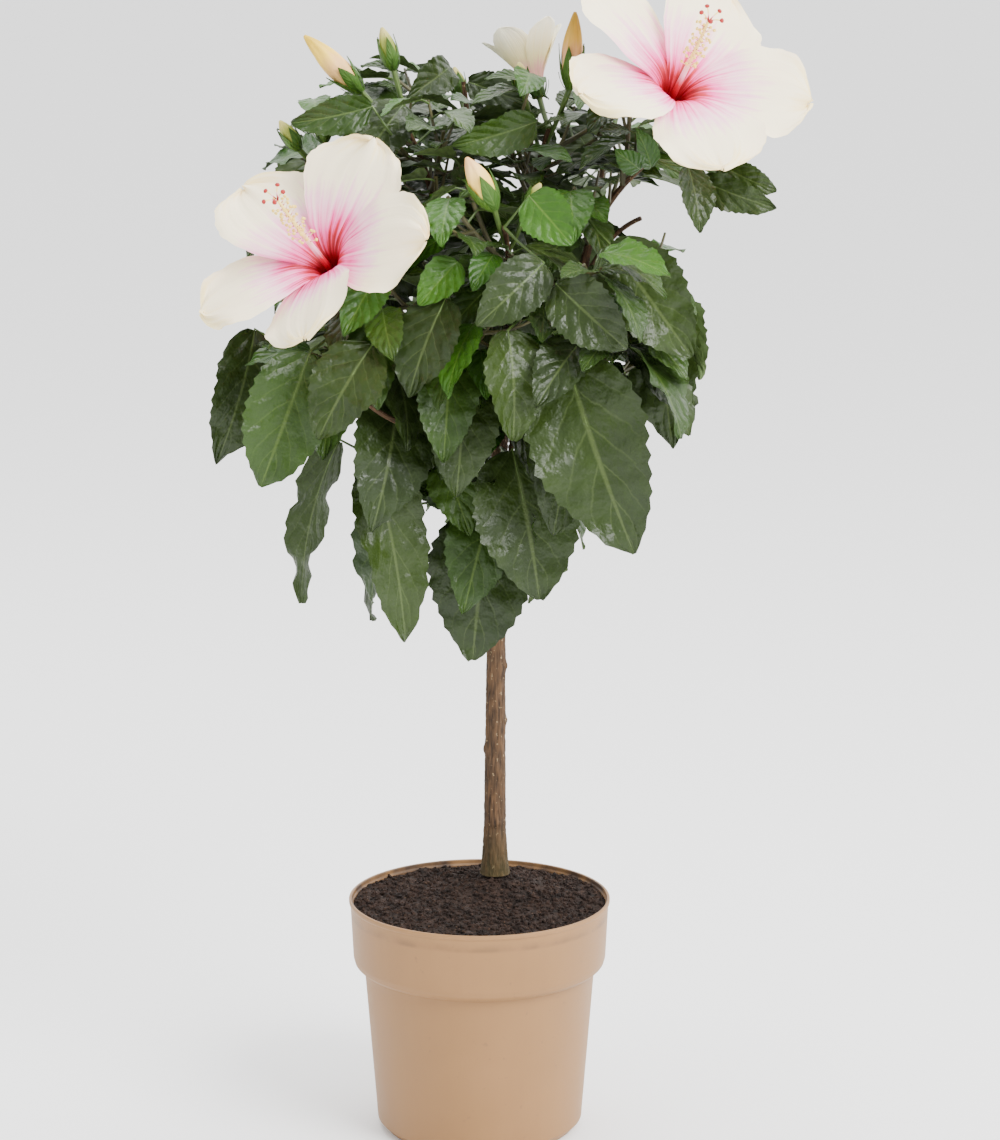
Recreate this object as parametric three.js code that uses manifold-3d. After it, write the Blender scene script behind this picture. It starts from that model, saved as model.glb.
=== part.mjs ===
// A young hibiscus grown as a standard: one bare stem with a round crown, in a plastic nursery pot.
// Millimetres, +Z up, the origin at the middle of the pot's flat underside, the front towards -Y.
import * as THREE from "three";
import Module from "manifold-3d";
import { mergeVertices } from "three/addons/utils/BufferGeometryUtils.js";

const wasm = await Module();
wasm.setup();

const vec = (x, y, z) => new THREE.Vector3(x, y, z);
const degrees = THREE.MathUtils.degToRad;
const mix = THREE.MathUtils.lerp;

// ---------------------------------------------------------------- driving dimensions
const GAP = 0.3;             // left between two pieces that touch
const GOLDEN_ANGLE = 137.5;  // turn from one leaf to the next along a shoot
const CROWN_FOOT = 320;      // no leaf hangs lower than this
const LEAF_CLEARANCE = 5.5;
const STALK_CLEARANCE = 2.5;
const BUD_FORK = 0.7;        // way along a main shoot where its bud stalks leave it

const POT = {
  height: 155, wall: 2, floor: 2.5, footRadius: 61.5, footCorner: 6, lowRadius: 67,
  neckHeight: 103, neckRadius: 74.7, grooveHeight: 108, collarHeight: 117, collarRadius: 82.3, rimRadius: 85,
};
const POT_SIDES = 32;
const NOTCH = { count: 5, first: 230, width: 20, height: 3.6, depth: 9 };
const SOIL = { edgeHeight: 150.5, moundRadius: 44, seatRadius: 12 };
const TRUNK = {
  foot: vec(10, 30, 162), waist: vec(10, 30, 318), top: vec(14, 26, 476),
  footRadius: 7.2, topRadius: 4.8, flare: 2.6, flareHeight: 16,
};
const TIP_TAPER = 0.72;      // a bough's tip radius over its foot radius

// Each bough leaves the trunk at a height and bearing (0 right, 90 back, 270 front), and ends at a reach
// and height.
const BOUGHS = {
  left: { from: 428, bearing: 216, reach: 84, height: 486, radius: 3.9 },
  front_left: { from: 411, bearing: 252, reach: 62, height: 484, radius: 3.5 },
  upper_left: { from: 452, bearing: 200, reach: 40, height: 584, radius: 3.6 },
  crown: { from: 458, bearing: 352, reach: 20, height: 594, radius: 3.6 },
  right: { from: 443, bearing: 336, reach: 58, height: 568, radius: 3.8 },
  front: { from: 436, bearing: 276, reach: 66, height: 536, radius: 3.8 },
  front_right: { from: 420, bearing: 316, reach: 72, height: 486, radius: 3.5 },
  top: { from: 463, bearing: 118, reach: 34, height: 592, radius: 3.5 },
  back_left: { from: 432, bearing: 142, reach: 82, height: 536, radius: 3.6 },
  back_right: { from: 436, bearing: 44, reach: 78, height: 556, radius: 3.6 },
  back: { from: 416, bearing: 92, reach: 66, height: 500, radius: 3.4 },
  side_left: { from: 442, bearing: 178, reach: 70, height: 546, radius: 3.4 },
  side_right: { from: 428, bearing: 8, reach: 72, height: 512, radius: 3.3 },
};

// Each mass springs from a bough's tip, or low on the trunk at a height and bearing. Its main shoot ends at
// tip, with side shoots, and leaves whose length falls from the foot of the shoot to its end. droop 0 holds
// them out, 1 lets the old ones hang.
const MASSES = {
  left: {
    bough: "left", tip: vec(-84, -45, 538), sides: 3,
    leaves: 8, longest: 96, shortest: 66, droop: 0.9, seed: 13,
  },
  front: {
    bough: "front", tip: vec(16, -86, 604), sides: 4,
    leaves: 9, longest: 84, shortest: 46, droop: 0.8, seed: 102,
  },
  front_right: {
    bough: "front_right", tip: vec(92, -66, 556), sides: 3,
    leaves: 8, longest: 112, shortest: 70, droop: 0.95, seed: 9,
  },
  right: {
    bough: "right", tip: vec(108, -10, 637), sides: 2,
    leaves: 7, longest: 84, shortest: 56, droop: 0.8, seed: 111,
  },
  top: {
    bough: "top", tip: vec(-10, 66, 678), sides: 4,
    leaves: 8, longest: 80, shortest: 46, droop: 0.4, seed: 94,
  },
  upper_left: {
    bough: "upper_left", tip: vec(-52, 0, 668), sides: 4,
    leaves: 8, longest: 84, shortest: 44, droop: 0.45, seed: 112,
  },
  crown: {
    bough: "crown", tip: vec(44, 10, 654), sides: 4,
    leaves: 8, longest: 84, shortest: 44, droop: 0.45, seed: 35,
  },
  front_left: {
    bough: "front_left", tip: vec(-34, -84, 548), sides: 3,
    leaves: 8, longest: 92, shortest: 52, droop: 0.9, seed: 123,
  },
  skirt_front: {
    height: 404, bearing: 285, tip: vec(16, -44, 444), sides: 1,
    leaves: 7, longest: 118, shortest: 92, droop: 1.1, seed: 104,
  },
  skirt_left: {
    height: 398, bearing: 205, tip: vec(-44, 8, 440), sides: 1,
    leaves: 7, longest: 112, shortest: 88, droop: 1.1, seed: 67,
  },
  skirt_right: {
    height: 400, bearing: 350, tip: vec(52, 8, 444), sides: 1,
    leaves: 5, longest: 112, shortest: 88, droop: 1.1, seed: 1,
  },
  side_left: {
    bough: "side_left", tip: vec(-100, 6, 636), sides: 3,
    leaves: 8, longest: 94, shortest: 52, droop: 0.75, seed: 89,
  },
  side_right: {
    bough: "side_right", tip: vec(118, 52, 572), sides: 2,
    leaves: 7, longest: 94, shortest: 52, droop: 0.8, seed: 8,
  },
  back_left: {
    bough: "back_left", tip: vec(-72, 112, 620), sides: 3,
    leaves: 7, longest: 100, shortest: 52, droop: 0.8, seed: 97,
  },
  back_right: {
    bough: "back_right", tip: vec(84, 112, 640), sides: 3,
    leaves: 7, longest: 100, shortest: 52, droop: 0.75, seed: 115,
  },
  back: {
    bough: "back", tip: vec(8, 128, 566), sides: 3,
    leaves: 7, longest: 104, shortest: 56, droop: 0.9, seed: 110,
  },
  skirt_back: {
    height: 406, bearing: 80, tip: vec(22, 88, 446), sides: 1,
    leaves: 6, longest: 112, shortest: 90, droop: 1.05, seed: 72,
  },
};

// Each flower grows on from the main shoot of its mass. throat is the middle of its mouth, turn the bearing
// of its first petal, open 1 flat and 0 furled, tube the depth of the throat, and lift bends each petal
// further out.
const FLOWERS = {
  left: {
    mass: "left", throat: vec(-93, -76, 581), faces: vec(-0.45, -0.6, 0.66), turn: 10, open: 1,
    tube: 22, petal: 75, width: 40, lift: [6, 0, 0, 2, -3],
  },
  right: {
    mass: "right", throat: vec(121, -38, 682), faces: vec(0.333, -0.57, 0.75), turn: -27, open: 1,
    tube: 22, petal: 77, width: 42, lift: [0, 0, 4, 6, 4],
  },
  crown: {
    mass: "crown", throat: vec(34, 34, 687), faces: vec(-0.25, 0.3, 0.92), turn: 20, open: 0.3,
    tube: 16, petal: 34, width: 17, lift: [0, 0, 0, 0, 0],
  },
};

// Each bud stands on a stalk from the main shoot of its mass.
const BUDS = {
  yellow: { mass: "upper_left", base: vec(-73, -6, 679), tip: vec(-108, -12, 714), radius: 7.5 },
  pointed: { mass: "upper_left", base: vec(-53, 2, 692), tip: vec(-60, 0, 718), radius: 5.6 },
  golden: { mass: "crown", base: vec(57, 2, 680), tip: vec(60, -2, 728), radius: 7 },
  green: { mass: "crown", base: vec(28, -4, 678), tip: vec(25, -8, 697), radius: 5.6 },
  cream: { mass: "front", base: vec(10, -92, 616), tip: vec(-7, -97, 648), radius: 8 },
  small_front: { mass: "front", base: vec(30, -84, 616), tip: vec(38, -86, 631), radius: 4.2 },
  small_left: { mass: "side_left", base: vec(-112, -12, 644), tip: vec(-123, -20, 662), radius: 5 },
  tiny_left: { mass: "side_left", base: vec(-96, -6, 648), tip: vec(-98, -10, 664), radius: 4.4 },
  small_back: { mass: "back_right", base: vec(92, 118, 662), tip: vec(98, 122, 680), radius: 5 },
  tiny_back: { mass: "back_left", base: vec(-78, 120, 640), tip: vec(-84, 124, 657), radius: 4.6 },
  small_top: { mass: "top", base: vec(-12, 70, 696), tip: vec(-14, 72, 715), radius: 5 },
};

const MATERIALS = {
  pot: { color: 0xb99d80, roughness: 0.55, metalness: 0 },
  soil: { color: 0x33241c, roughness: 1, metalness: 0 },
  bark: { color: 0x7d5b3f, roughness: 0.9, metalness: 0 },
  leaf: { color: 0x2f5a26, roughness: 0.4, metalness: 0 },
  petal: { color: 0xf6ece0, roughness: 0.6, metalness: 0 },
};

// ---------------------------------------------------------------- solids
const plant = new THREE.Group();

function toSolid(geometry) {
  geometry.deleteAttribute("normal");
  geometry.deleteAttribute("uv");
  const merged = mergeVertices(geometry, 1e-4);
  return new wasm.Manifold(new wasm.Mesh({
    numProp: 3,
    vertProperties: new Float32Array(merged.attributes.position.array),
    triVerts: new Uint32Array(merged.index.array),
  }));
}

// Joins solids into one, and drops any scrap that the joining leaves loose.
function fuse(solids) {
  const joined = solids.reduce((sum, solid) => sum.add(solid));
  return joined.decompose().reduce((most, piece) => (piece.volume() > most.volume() ? piece : most));
}

function addNode(name, solid, material) {
  const mesh = solid.getMesh();
  const geometry = new THREE.BufferGeometry();
  geometry.setAttribute("position", new THREE.BufferAttribute(new Float32Array(mesh.vertProperties), 3));
  geometry.setIndex(new THREE.BufferAttribute(new Uint32Array(mesh.triVerts), 1));
  geometry.computeVertexNormals();
  const node = new THREE.Mesh(geometry, new THREE.MeshStandardMaterial(MATERIALS[material]));
  node.name = name;
  plant.add(node);
}

// Turns a profile of [radius, height] pairs about an upright axis through centre.
function turned(profile, sides, centre = vec(0, 0, 0)) {
  const geometry = new THREE.LatheGeometry(profile.map(([r, z]) => new THREE.Vector2(r, z)), sides);
  return toSolid(geometry.rotateX(Math.PI / 2).translate(centre.x, centre.y, centre.z));
}

// Bends a unit cylinder along a curve, with its radius from a function of the way along.
function limb(curve, radiusAt, sides, steps) {
  const geometry = new THREE.CylinderGeometry(1, 1, 1, sides, steps);
  const position = geometry.attributes.position;
  const start = curve.getTangent(0);
  const level = Math.abs(start.z) > 0.9 ? vec(1, 0, 0) : vec(0, 0, 1);
  const first = start.clone().cross(level).normalize();
  for (let i = 0; i < position.count; i++) {
    const t = position.getY(i) + 0.5;
    const tangent = curve.getTangent(t);
    const across = first.clone().addScaledVector(tangent, -first.dot(tangent)).normalize();
    const other = across.clone().cross(tangent);
    const point = curve.getPoint(t)
      .addScaledVector(across, position.getX(i) * radiusAt(t))
      .addScaledVector(other, position.getZ(i) * radiusAt(t));
    position.setXYZ(i, point.x, point.y, point.z);
  }
  return toSolid(geometry);
}

// Splits a quad, whose two triangles start at that place in the index, along its other diagonal. Both sides
// of a thin blade or petal are split alike, so that they bend along the same lines and never cross.
function flipDiagonal(index, at) {
  index.setX(at + 2, index.getX(at + 4));
  index.setX(at + 3, index.getX(at));
}

const bend = (a, b, c) => new THREE.QuadraticBezierCurve3(a, b, c);
const bearingVector = (bearing) => vec(Math.cos(degrees(bearing)), Math.sin(degrees(bearing)), 0);

// ---------------------------------------------------------------- pot and soil
// The pot's section from its foot to its rim, drawn in by inset and with its bottom raised by rise.
function potProfile(inset, rise) {
  const p = POT;
  const corner = rise + p.footCorner - (inset > 0 ? p.wall : 0);
  return [
    [p.footRadius - inset, rise],
    [p.lowRadius - inset, corner],
    [p.neckRadius - inset, p.neckHeight],
    [p.neckRadius + 0.3 - inset, p.grooveHeight],
    [p.collarRadius - inset, p.collarHeight],
    [p.rimRadius - inset, p.height],
  ];
}

function pot() {
  const inside = potProfile(POT.wall, POT.floor).reverse();
  const shell = turned([[0, 0], ...potProfile(0, 0), ...inside, [0, POT.floor], [0, 0]], POT_SIDES);
  const notches = Array.from({ length: NOTCH.count }, (_, i) => {
    const bearing = NOTCH.first + 360 * i / NOTCH.count;
    const tool = new THREE.BoxGeometry(NOTCH.depth, NOTCH.width, 2 * NOTCH.height);
    tool.translate(POT.footRadius + 1, 0, 0).rotateZ(degrees(bearing));
    return toSolid(tool);
  });
  return notches.reduce((rest, notch) => rest.subtract(notch), shell);
}

function soil() {
  const bottom = POT.floor + GAP;
  const bed = potProfile(POT.wall + GAP, bottom).filter(([, z]) => z < SOIL.edgeHeight);
  const slope = (POT.rimRadius - POT.collarRadius) / (POT.height - POT.collarHeight);
  const edge = POT.rimRadius - POT.wall - GAP - slope * (POT.height - SOIL.edgeHeight);
  const fill = turned([[0, bottom], ...bed, [edge, SOIL.edgeHeight], [0, SOIL.edgeHeight]], POT_SIDES);
  const seat = TRUNK.foot.z - GAP;
  const mound = turned([
    [0, POT.collarHeight], [SOIL.moundRadius, POT.collarHeight], [SOIL.moundRadius, SOIL.edgeHeight + 0.5],
    [SOIL.moundRadius * 0.6, mix(SOIL.edgeHeight, seat, 0.55)], [SOIL.seatRadius, seat], [0, seat],
  ], 12, vec(TRUNK.foot.x, TRUNK.foot.y, 0));
  return fill.add(mound);
}

// ---------------------------------------------------------------- trunk and boughs
const trunkCurve = bend(TRUNK.foot, TRUNK.waist, TRUNK.top);

function trunkRadius(height) {
  const above = height - TRUNK.foot.z;
  const taper = mix(TRUNK.footRadius, TRUNK.topRadius, above / (TRUNK.top.z - TRUNK.foot.z));
  return taper + TRUNK.flare * Math.exp(-above / TRUNK.flareHeight);
}

function trunkPoint(height) {
  let low = 0;
  let high = 1;
  for (let i = 0; i < 30; i++) {
    const middle = (low + high) / 2;
    if (trunkCurve.getPoint(middle).z < height) low = middle;
    else high = middle;
  }
  return trunkCurve.getPoint(low);
}

const trunk = (grown) => limb(trunkCurve, (t) => trunkRadius(trunkCurve.getPoint(t).z) + grown, 12, 13);

function boughCurve({ from, bearing, reach, height }) {
  const foot = trunkPoint(from);
  const out = bearingVector(bearing);
  const knee = foot.clone().addScaledVector(out, reach * 0.78).setZ(mix(from, height, 0.4));
  const tip = foot.clone().addScaledVector(out, reach).setZ(height);
  return bend(foot, knee, tip);
}

const boughCurves = {};
for (const name of Object.keys(BOUGHS)) boughCurves[name] = boughCurve(BOUGHS[name]);

function bough(name, trunkAndGap) {
  const radius = BOUGHS[name].radius;
  return fuse([limb(boughCurves[name], (t) => radius * mix(1, TIP_TAPER, t), 6, 6).subtract(trunkAndGap)]);
}

// ---------------------------------------------------------------- the space that grown things take up
function random(seed) {
  let state = (seed * 9301 + 49297) % 4294967296;
  const next = () => {
    state = (state * 1664525 + 1013904223) % 4294967296;
    return state / 4294967296;
  };
  for (let i = 0; i < 3; i++) next();
  return next;
}

function ballAround(points) {
  const centre = vec(0, 0, 0);
  points.forEach((point) => centre.add(point));
  centre.divideScalar(points.length);
  return { centre, reach: Math.max(...points.map((point) => point.distanceTo(centre))) };
}

// Everything grown so far, as groups of points with a radius. A new leaf or twig has to find room among them.
const crowd = [];

function occupy(points, radius, owner) {
  crowd.push({ ...ballAround(points), points, radius, owner });
}

function hasRoom(points, clearance, owner) {
  const ball = ballAround(points);
  return !crowd.some((group) => {
    if (group.owner === owner) return false;
    const least = group.radius + clearance;
    if (group.centre.distanceTo(ball.centre) > group.reach + ball.reach + least) return false;
    const near = (point) => group.points.some((taken) => taken.distanceToSquared(point) < least * least);
    return points.some(near);
  });
}

const onCurve = (curve, from, to, steps) =>
  Array.from({ length: steps + 1 }, (_, i) => curve.getPoint(mix(from, to, i / steps)));
const along = (from, to, steps) => onCurve(new THREE.LineCurve3(from, to), 0, 1, steps);

// ---------------------------------------------------------------- leaves
// A blade is widest a third of the way along, curls down over its length and folds up along its midrib.
const bladeWidth = (u) => 2.545 * Math.sqrt(u) * Math.pow(1 - u, 0.95);

function bladePoint(leaf, u, v, lift = 0) {
  const angle = leaf.curl * u;
  const side = leaf.halfWidth * bladeWidth(u) * Math.abs(v);
  const wave = Math.sin(leaf.waves * 2 * Math.PI * u + leaf.phase + (v < 0 ? 0 : 2.1));
  const ripple = 0.022 * leaf.length * wave * v * v * Math.min(1, u * 6);
  const rise = side * Math.sin(leaf.fold) + ripple + lift;
  return leaf.base.clone()
    .addScaledVector(leaf.heading, leaf.length * Math.sin(angle) / leaf.curl + rise * Math.sin(angle))
    .addScaledVector(leaf.normal, rise * Math.cos(angle) - leaf.length * (1 - Math.cos(angle)) / leaf.curl)
    .addScaledVector(leaf.side, side * Math.cos(leaf.fold) * Math.sign(v));
}

function bladeSamples(leaf) {
  const samples = [];
  for (let row = 0; row <= 9; row++) {
    const u = Math.min(1, 0.06 + 0.94 * row / 9);
    const places = row === 0 || row === 9 ? [0] : [-1, -0.6, -0.3, 0, 0.3, 0.6, 1];
    places.forEach((v) => samples.push(bladePoint(leaf, u, v)));
  }
  return samples;
}

// Stalk and blade in one: a four-sided rod from inside the shoot that flattens into a thin blade, thickest on
// its midrib, and ends in a point.
function leafSolid(leaf) {
  const stations = [0.18, 0.58, 1];
  const steps = stations.length + 1;
  const sides = 4;
  const geometry = new THREE.ConeGeometry(1, 1, sides, steps);
  const trianglesUpASide = 2 * steps - 1;
  for (let side = 1; side < sides; side += 2) {
    for (let step = 1; step < steps; step++) {
      flipDiagonal(geometry.index, 3 * (side * trianglesUpASide + 2 * step - 1));
    }
  }
  const position = geometry.attributes.position;
  for (let i = 0; i < position.count; i++) {
    const across = Math.sign(Math.round(position.getX(i) * 100));
    const over = Math.sign(Math.round(position.getZ(i) * 100));
    const station = Math.round((position.getY(i) + 0.5) * steps) - 2;
    let point;
    if (station < 0) {
      const radius = station < -1 ? 0.7 : 1;
      point = (station < -1 ? leaf.foot : leaf.base).clone()
        .addScaledVector(leaf.side, across * radius)
        .addScaledVector(leaf.normal, over * radius);
    } else {
      const u = stations[station];
      point = bladePoint(leaf, u, across, over * 0.007 * leaf.length * (1.25 - u));
    }
    position.setXYZ(i, point.x, point.y, point.z);
  }
  return toSolid(geometry);
}

// ---------------------------------------------------------------- flowers and buds
function petalPoint(flower, k, u, v, lift = 0) {
  const axis = flower.faces.clone().normalize();
  const right = vec(0, 0, 1).cross(axis).normalize();
  const up = axis.clone().cross(right);
  const turn = degrees(flower.turn + 72 * k);
  const radial = right.multiplyScalar(Math.cos(turn)).addScaledVector(up, Math.sin(turn));
  const across = axis.clone().cross(radial);
  const steps = 24;
  const step = (flower.petal + flower.tube) / steps;
  let out = 2.4;
  let forward = -flower.tube;
  let lean = 0;
  for (let i = 0; i < steps * u; i++) {
    const s = (i + 0.5) / steps;
    const part = step * Math.min(1, steps * u - i);
    const flare = THREE.MathUtils.smoothstep(s, 0.12, 0.42);
    const reflex = 20 * flower.open * Math.max(0, (s - 0.55) / 0.45);
    lean = degrees(mix(14, mix(16, 70, flower.open), flare) + flower.lift[k] * flare + reflex);
    out += Math.sin(lean) * part;
    forward += Math.cos(lean) * part;
  }
  const end = Math.sqrt(Math.max(0, 1 - Math.pow(Math.max(0, (u - 0.56) / 0.44), 2.6)));
  const side = flower.width * Math.tanh(1.02 * out / flower.width) * end * v;
  const tilt = degrees(13 * flower.open) * Math.min(1, u * 1.6);
  const wrap = 0.95 * (1 - flower.open);
  const round = wrap * side / Math.max(7, out);
  const outward = radial.clone().multiplyScalar(Math.cos(round)).addScaledVector(across, Math.sin(round));
  const sideways = across.clone().multiplyScalar(Math.cos(round)).addScaledVector(radial, -Math.sin(round));
  const normal = axis.clone().multiplyScalar(Math.sin(lean)).addScaledVector(outward, -Math.cos(lean));
  const cup = 0.1 * flower.open * side * v * (1 - 0.6 * u);
  const ruffle = 3 * u * u * flower.open * Math.sin(4.5 * v + 1.9 * k) * v * v;
  return flower.throat.clone()
    .addScaledVector(axis, forward)
    .addScaledVector(outward, out)
    .addScaledVector(sideways, side * (1 - wrap) * Math.cos(tilt))
    .addScaledVector(normal, side * Math.sin(tilt) + cup + ruffle + lift);
}

function petalSolid(flower, k) {
  const geometry = new THREE.BoxGeometry(2, 1, 1, 3, 3, 1);
  const back = geometry.groups[5];
  for (let at = back.start; at < back.start + back.count; at += 6) flipDiagonal(geometry.index, at);
  const position = geometry.attributes.position;
  for (let i = 0; i < position.count; i++) {
    const u = mix(0.1, 0.975, position.getY(i) + 0.5);
    const point = petalPoint(flower, k, u, position.getX(i), -1.2 * position.getZ(i));
    position.setXYZ(i, point.x, point.y, point.z);
  }
  return toSolid(geometry);
}

const flowerAxis = (flower) => flower.faces.clone().normalize();
const flowerBase = (flower) => flower.throat.clone().addScaledVector(flowerAxis(flower), -flower.tube);

function flowerSolid(flower, main) {
  const axis = flowerAxis(flower);
  const base = flowerBase(flower);
  const heading = main.getTangent(1);
  const foot = main.getPoint(1).addScaledVector(heading, GAP);
  const reach = foot.distanceTo(base);
  const onAxis = (distance) => base.clone().addScaledVector(axis, distance);
  const stalk = bend(foot, foot.clone().addScaledVector(heading, reach * 0.5), onAxis(3));
  const calyx = new THREE.LineCurve3(onAxis(-3), onAxis(13));
  const column = new THREE.LineCurve3(onAxis(6), onAxis(flower.tube + flower.petal * 0.82));
  return fuse([
    limb(stalk, (t) => mix(1.5, 2.2, t), 5, 3),
    limb(calyx, (t) => mix(3.2, 6, Math.sqrt(t)), 6, 2),
    ...[0, 1, 2, 3, 4].map((k) => petalSolid(flower, k)),
    limb(column, (t) => 1.7 + 2.4 * THREE.MathUtils.smoothstep(t, 0.55, 0.95), 5, 6),
  ]);
}

const budsOf = (name) => Object.values(BUDS).filter((bud) => bud.mass === name);

function budStalk(bud, main) {
  const from = main.getPoint(BUD_FORK);
  return bend(from, from.clone().lerp(bud.base, 0.5).add(vec(0, 0, -3)), bud.base);
}

// A bud swells from its stalk to two fifths of its length and draws in to a point.
function budSolids(bud, main) {
  const axis = bud.tip.clone().sub(bud.base);
  const line = new THREE.LineCurve3(bud.base.clone().addScaledVector(axis, -0.12), bud.tip);
  const swell = (t) => (bud.radius - 0.5) * Math.pow(Math.sin(Math.PI * Math.pow(t, 0.76)), 0.8);
  return [
    limb(line, (t) => (t > 0.99 ? 0.5 : Math.max(0.9, 0.5 + swell(t))), 6, 4),
    limb(budStalk(bud, main), () => 1.1, 3, 2),
  ];
}

// ---------------------------------------------------------------- growth
const OUT_FROM = vec(TRUNK.top.x, TRUNK.top.y, 0);

function outwardFrom(point) {
  return point.clone().sub(OUT_FROM).setZ(0).normalize();
}

function claimLimbsAndFlowers() {
  onCurve(trunkCurve, 0.4, 1, 80).forEach((point) => occupy([point], 5.6, "limb"));
  Object.entries(boughCurves).forEach(([name, curve]) => {
    for (let i = 0; i < 6; i++) occupy(onCurve(curve, i / 6, (i + 1) / 6, 4), BOUGHS[name].radius, "limb");
  });
  Object.values(FLOWERS).forEach((flower) => {
    for (let k = 0; k < 5; k++) {
      const samples = [];
      for (let row = 1; row <= 9; row++) {
        for (const v of [-1, -2 / 3, -1 / 3, 0, 1 / 3, 2 / 3, 1]) {
          samples.push(petalPoint(flower, k, row / 9 - 0.01, v));
        }
      }
      occupy(samples, 0, "flower");
    }
    const base = flowerBase(flower);
    const columnEnd = flower.throat.clone().addScaledVector(flowerAxis(flower), flower.petal * 0.9);
    occupy(along(base, flower.throat, 3), 7, "flower");
    occupy(along(MASSES[flower.mass].tip, base, 5), 3.5, "flower");
    occupy(along(flower.throat, columnEnd, 8), 9, "flower");
  });
  Object.values(BUDS).forEach((bud) => occupy(along(bud.base, bud.tip, 5), bud.radius * 0.8, "bud"));
}

// The main shoot grows on from its bough, or from inside the trunk, which then cuts it, and side shoots
// branch off.
function sproutShoots(name) {
  const form = MASSES[name];
  const next = random(form.seed);
  let foot;
  let heading;
  let radius;
  if (form.bough) {
    heading = boughCurves[form.bough].getTangent(1);
    foot = boughCurves[form.bough].getPoint(1).addScaledVector(heading, GAP);
    radius = BOUGHS[form.bough].radius * TIP_TAPER;
  } else {
    const out = bearingVector(form.bearing);
    foot = trunkPoint(form.height).addScaledVector(out, trunkRadius(form.height) / 2);
    heading = out.add(vec(0, 0, 0.5)).normalize();
    radius = 2.6;
  }
  const span = foot.distanceTo(form.tip);
  const main = bend(foot, foot.clone().addScaledVector(heading, span * 0.5), form.tip);
  const shoots = [{ curve: main, radius, tipRadius: 1.5, main: true, leaves: form.leaves }];
  budsOf(name).forEach((bud) => occupy(onCurve(budStalk(bud, main), 0.2, 1, 4), 1.1, "bud"));
  for (let i = 0; i < form.sides; i++) {
    const t = mix(0.18, 0.72, form.sides === 1 ? 0.4 : i / (form.sides - 1));
    const at = main.getPoint(t);
    const tangent = main.getTangent(t);
    const aside = bearingVector(next() * 360);
    aside.addScaledVector(tangent, -aside.dot(tangent)).normalize();
    const length = mix(38, 58, next());
    const way = aside.multiplyScalar(0.9).addScaledVector(outwardFrom(at), 0.5).addScaledVector(tangent, 0.4);
    way.normalize();
    const tip = at.clone().addScaledVector(way, length).add(vec(0, 0, length * 0.25));
    const curve = bend(at, at.clone().addScaledVector(way, length * 0.55), tip);
    if (!hasRoom([0.3, 0.45, 0.6, 0.75, 0.9, 1].map((s) => curve.getPoint(s)), 6, name)) continue;
    shoots.push({ curve, radius: 1.9, tipRadius: 1.3, main: false, leaves: 4 });
  }
  for (const shoot of shoots) {
    const owner = shoot.main ? "stem" : name;
    for (let i = 0; i < 3; i++) occupy(onCurve(shoot.curve, i / 3, (i + 1) / 3, 4), 1.6, owner);
  }
  const space = span / 2 + form.longest * 1.02;
  return { name, form, next, main, shoots, leaves: [], middle: main.getPoint(0.5), space };
}

// One try at a leaf: its stalk leaves the shoot at the bearing, and the blade turns outwards and droops
// with age.
function shapeLeaf(mass, at, axis, age, bearing, chance, attempt) {
  const { form } = mass;
  const radial = bearingVector(bearing);
  radial.addScaledVector(axis, -radial.dot(axis)).normalize();
  const way = radial.clone().addScaledVector(outwardFrom(at), 0.6).setZ(0).normalize();
  const length = mix(form.longest, form.shortest, 1 - age) * mix(0.84, 1.08, chance[3]);
  const stalk = length * mix(0.2, 0.28, age);
  const drop = Math.min(1, form.droop * mix(0.5, 1.05, age));
  const rising = radial.multiplyScalar(0.8).addScaledVector(way, 0.3).add(vec(0, 0, mix(0.6, 0.05, age)));
  rising.normalize();
  const pitch = degrees(mix(26, -56, drop) + chance[1] * 34 - attempt * 2);
  const heading = way.clone().multiplyScalar(Math.cos(pitch)).add(vec(0, 0, Math.sin(pitch)));
  const side = vec(way.y, -way.x, 0);
  const normal = side.clone().cross(heading);
  const roll = degrees(chance[2] * 56);
  return {
    foot: at, base: at.clone().addScaledVector(rising, stalk), heading, length, halfWidth: length * 0.3,
    side: side.applyAxisAngle(heading, roll), normal: normal.applyAxisAngle(heading, roll),
    curl: degrees(mix(18, 52, drop)), fold: degrees(15 + 10 * chance[0]),
    waves: 1.7 + chance[1], phase: chance[2] * 12,
  };
}

function growLeaves(mass) {
  const { next, form, name } = mass;
  for (const shoot of mass.shoots) {
    const first = next() * 360;
    for (let i = 0; i < shoot.leaves; i++) {
      const t = mix(0.12, 0.94, i / (shoot.leaves - 1));
      const at = shoot.curve.getPoint(t);
      const axis = shoot.curve.getTangent(t);
      const age = shoot.main ? 1 - t : mix(0.65, 0, t);
      for (let attempt = 0; attempt < 8; attempt++) {
        const chance = [next() - 0.5, next() - 0.5, next() - 0.5, next()];
        const swing = (attempt % 2 ? -1 : 1) * Math.ceil(attempt / 2) * 28;
        const bearing = first + GOLDEN_ANGLE * i + swing + chance[0] * 20;
        const leaf = shapeLeaf(mass, at, axis, age, bearing, chance, attempt);
        const blade = bladeSamples(leaf);
        const stalk = [0.25, 0.5, 0.75, 0.95].map((s) => at.clone().lerp(leaf.base, s));
        const strays = (point) => point.z < CROWN_FOOT || point.distanceTo(mass.middle) > mass.space;
        if (blade.some(strays) || !hasRoom(blade, LEAF_CLEARANCE)) continue;
        if (!hasRoom(stalk, STALK_CLEARANCE, name)) continue;
        occupy(blade, 0, "leaf");
        occupy(stalk, 1, "stalk");
        mass.leaves.push(leaf);
        break;
      }
    }
  }
}

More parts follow.
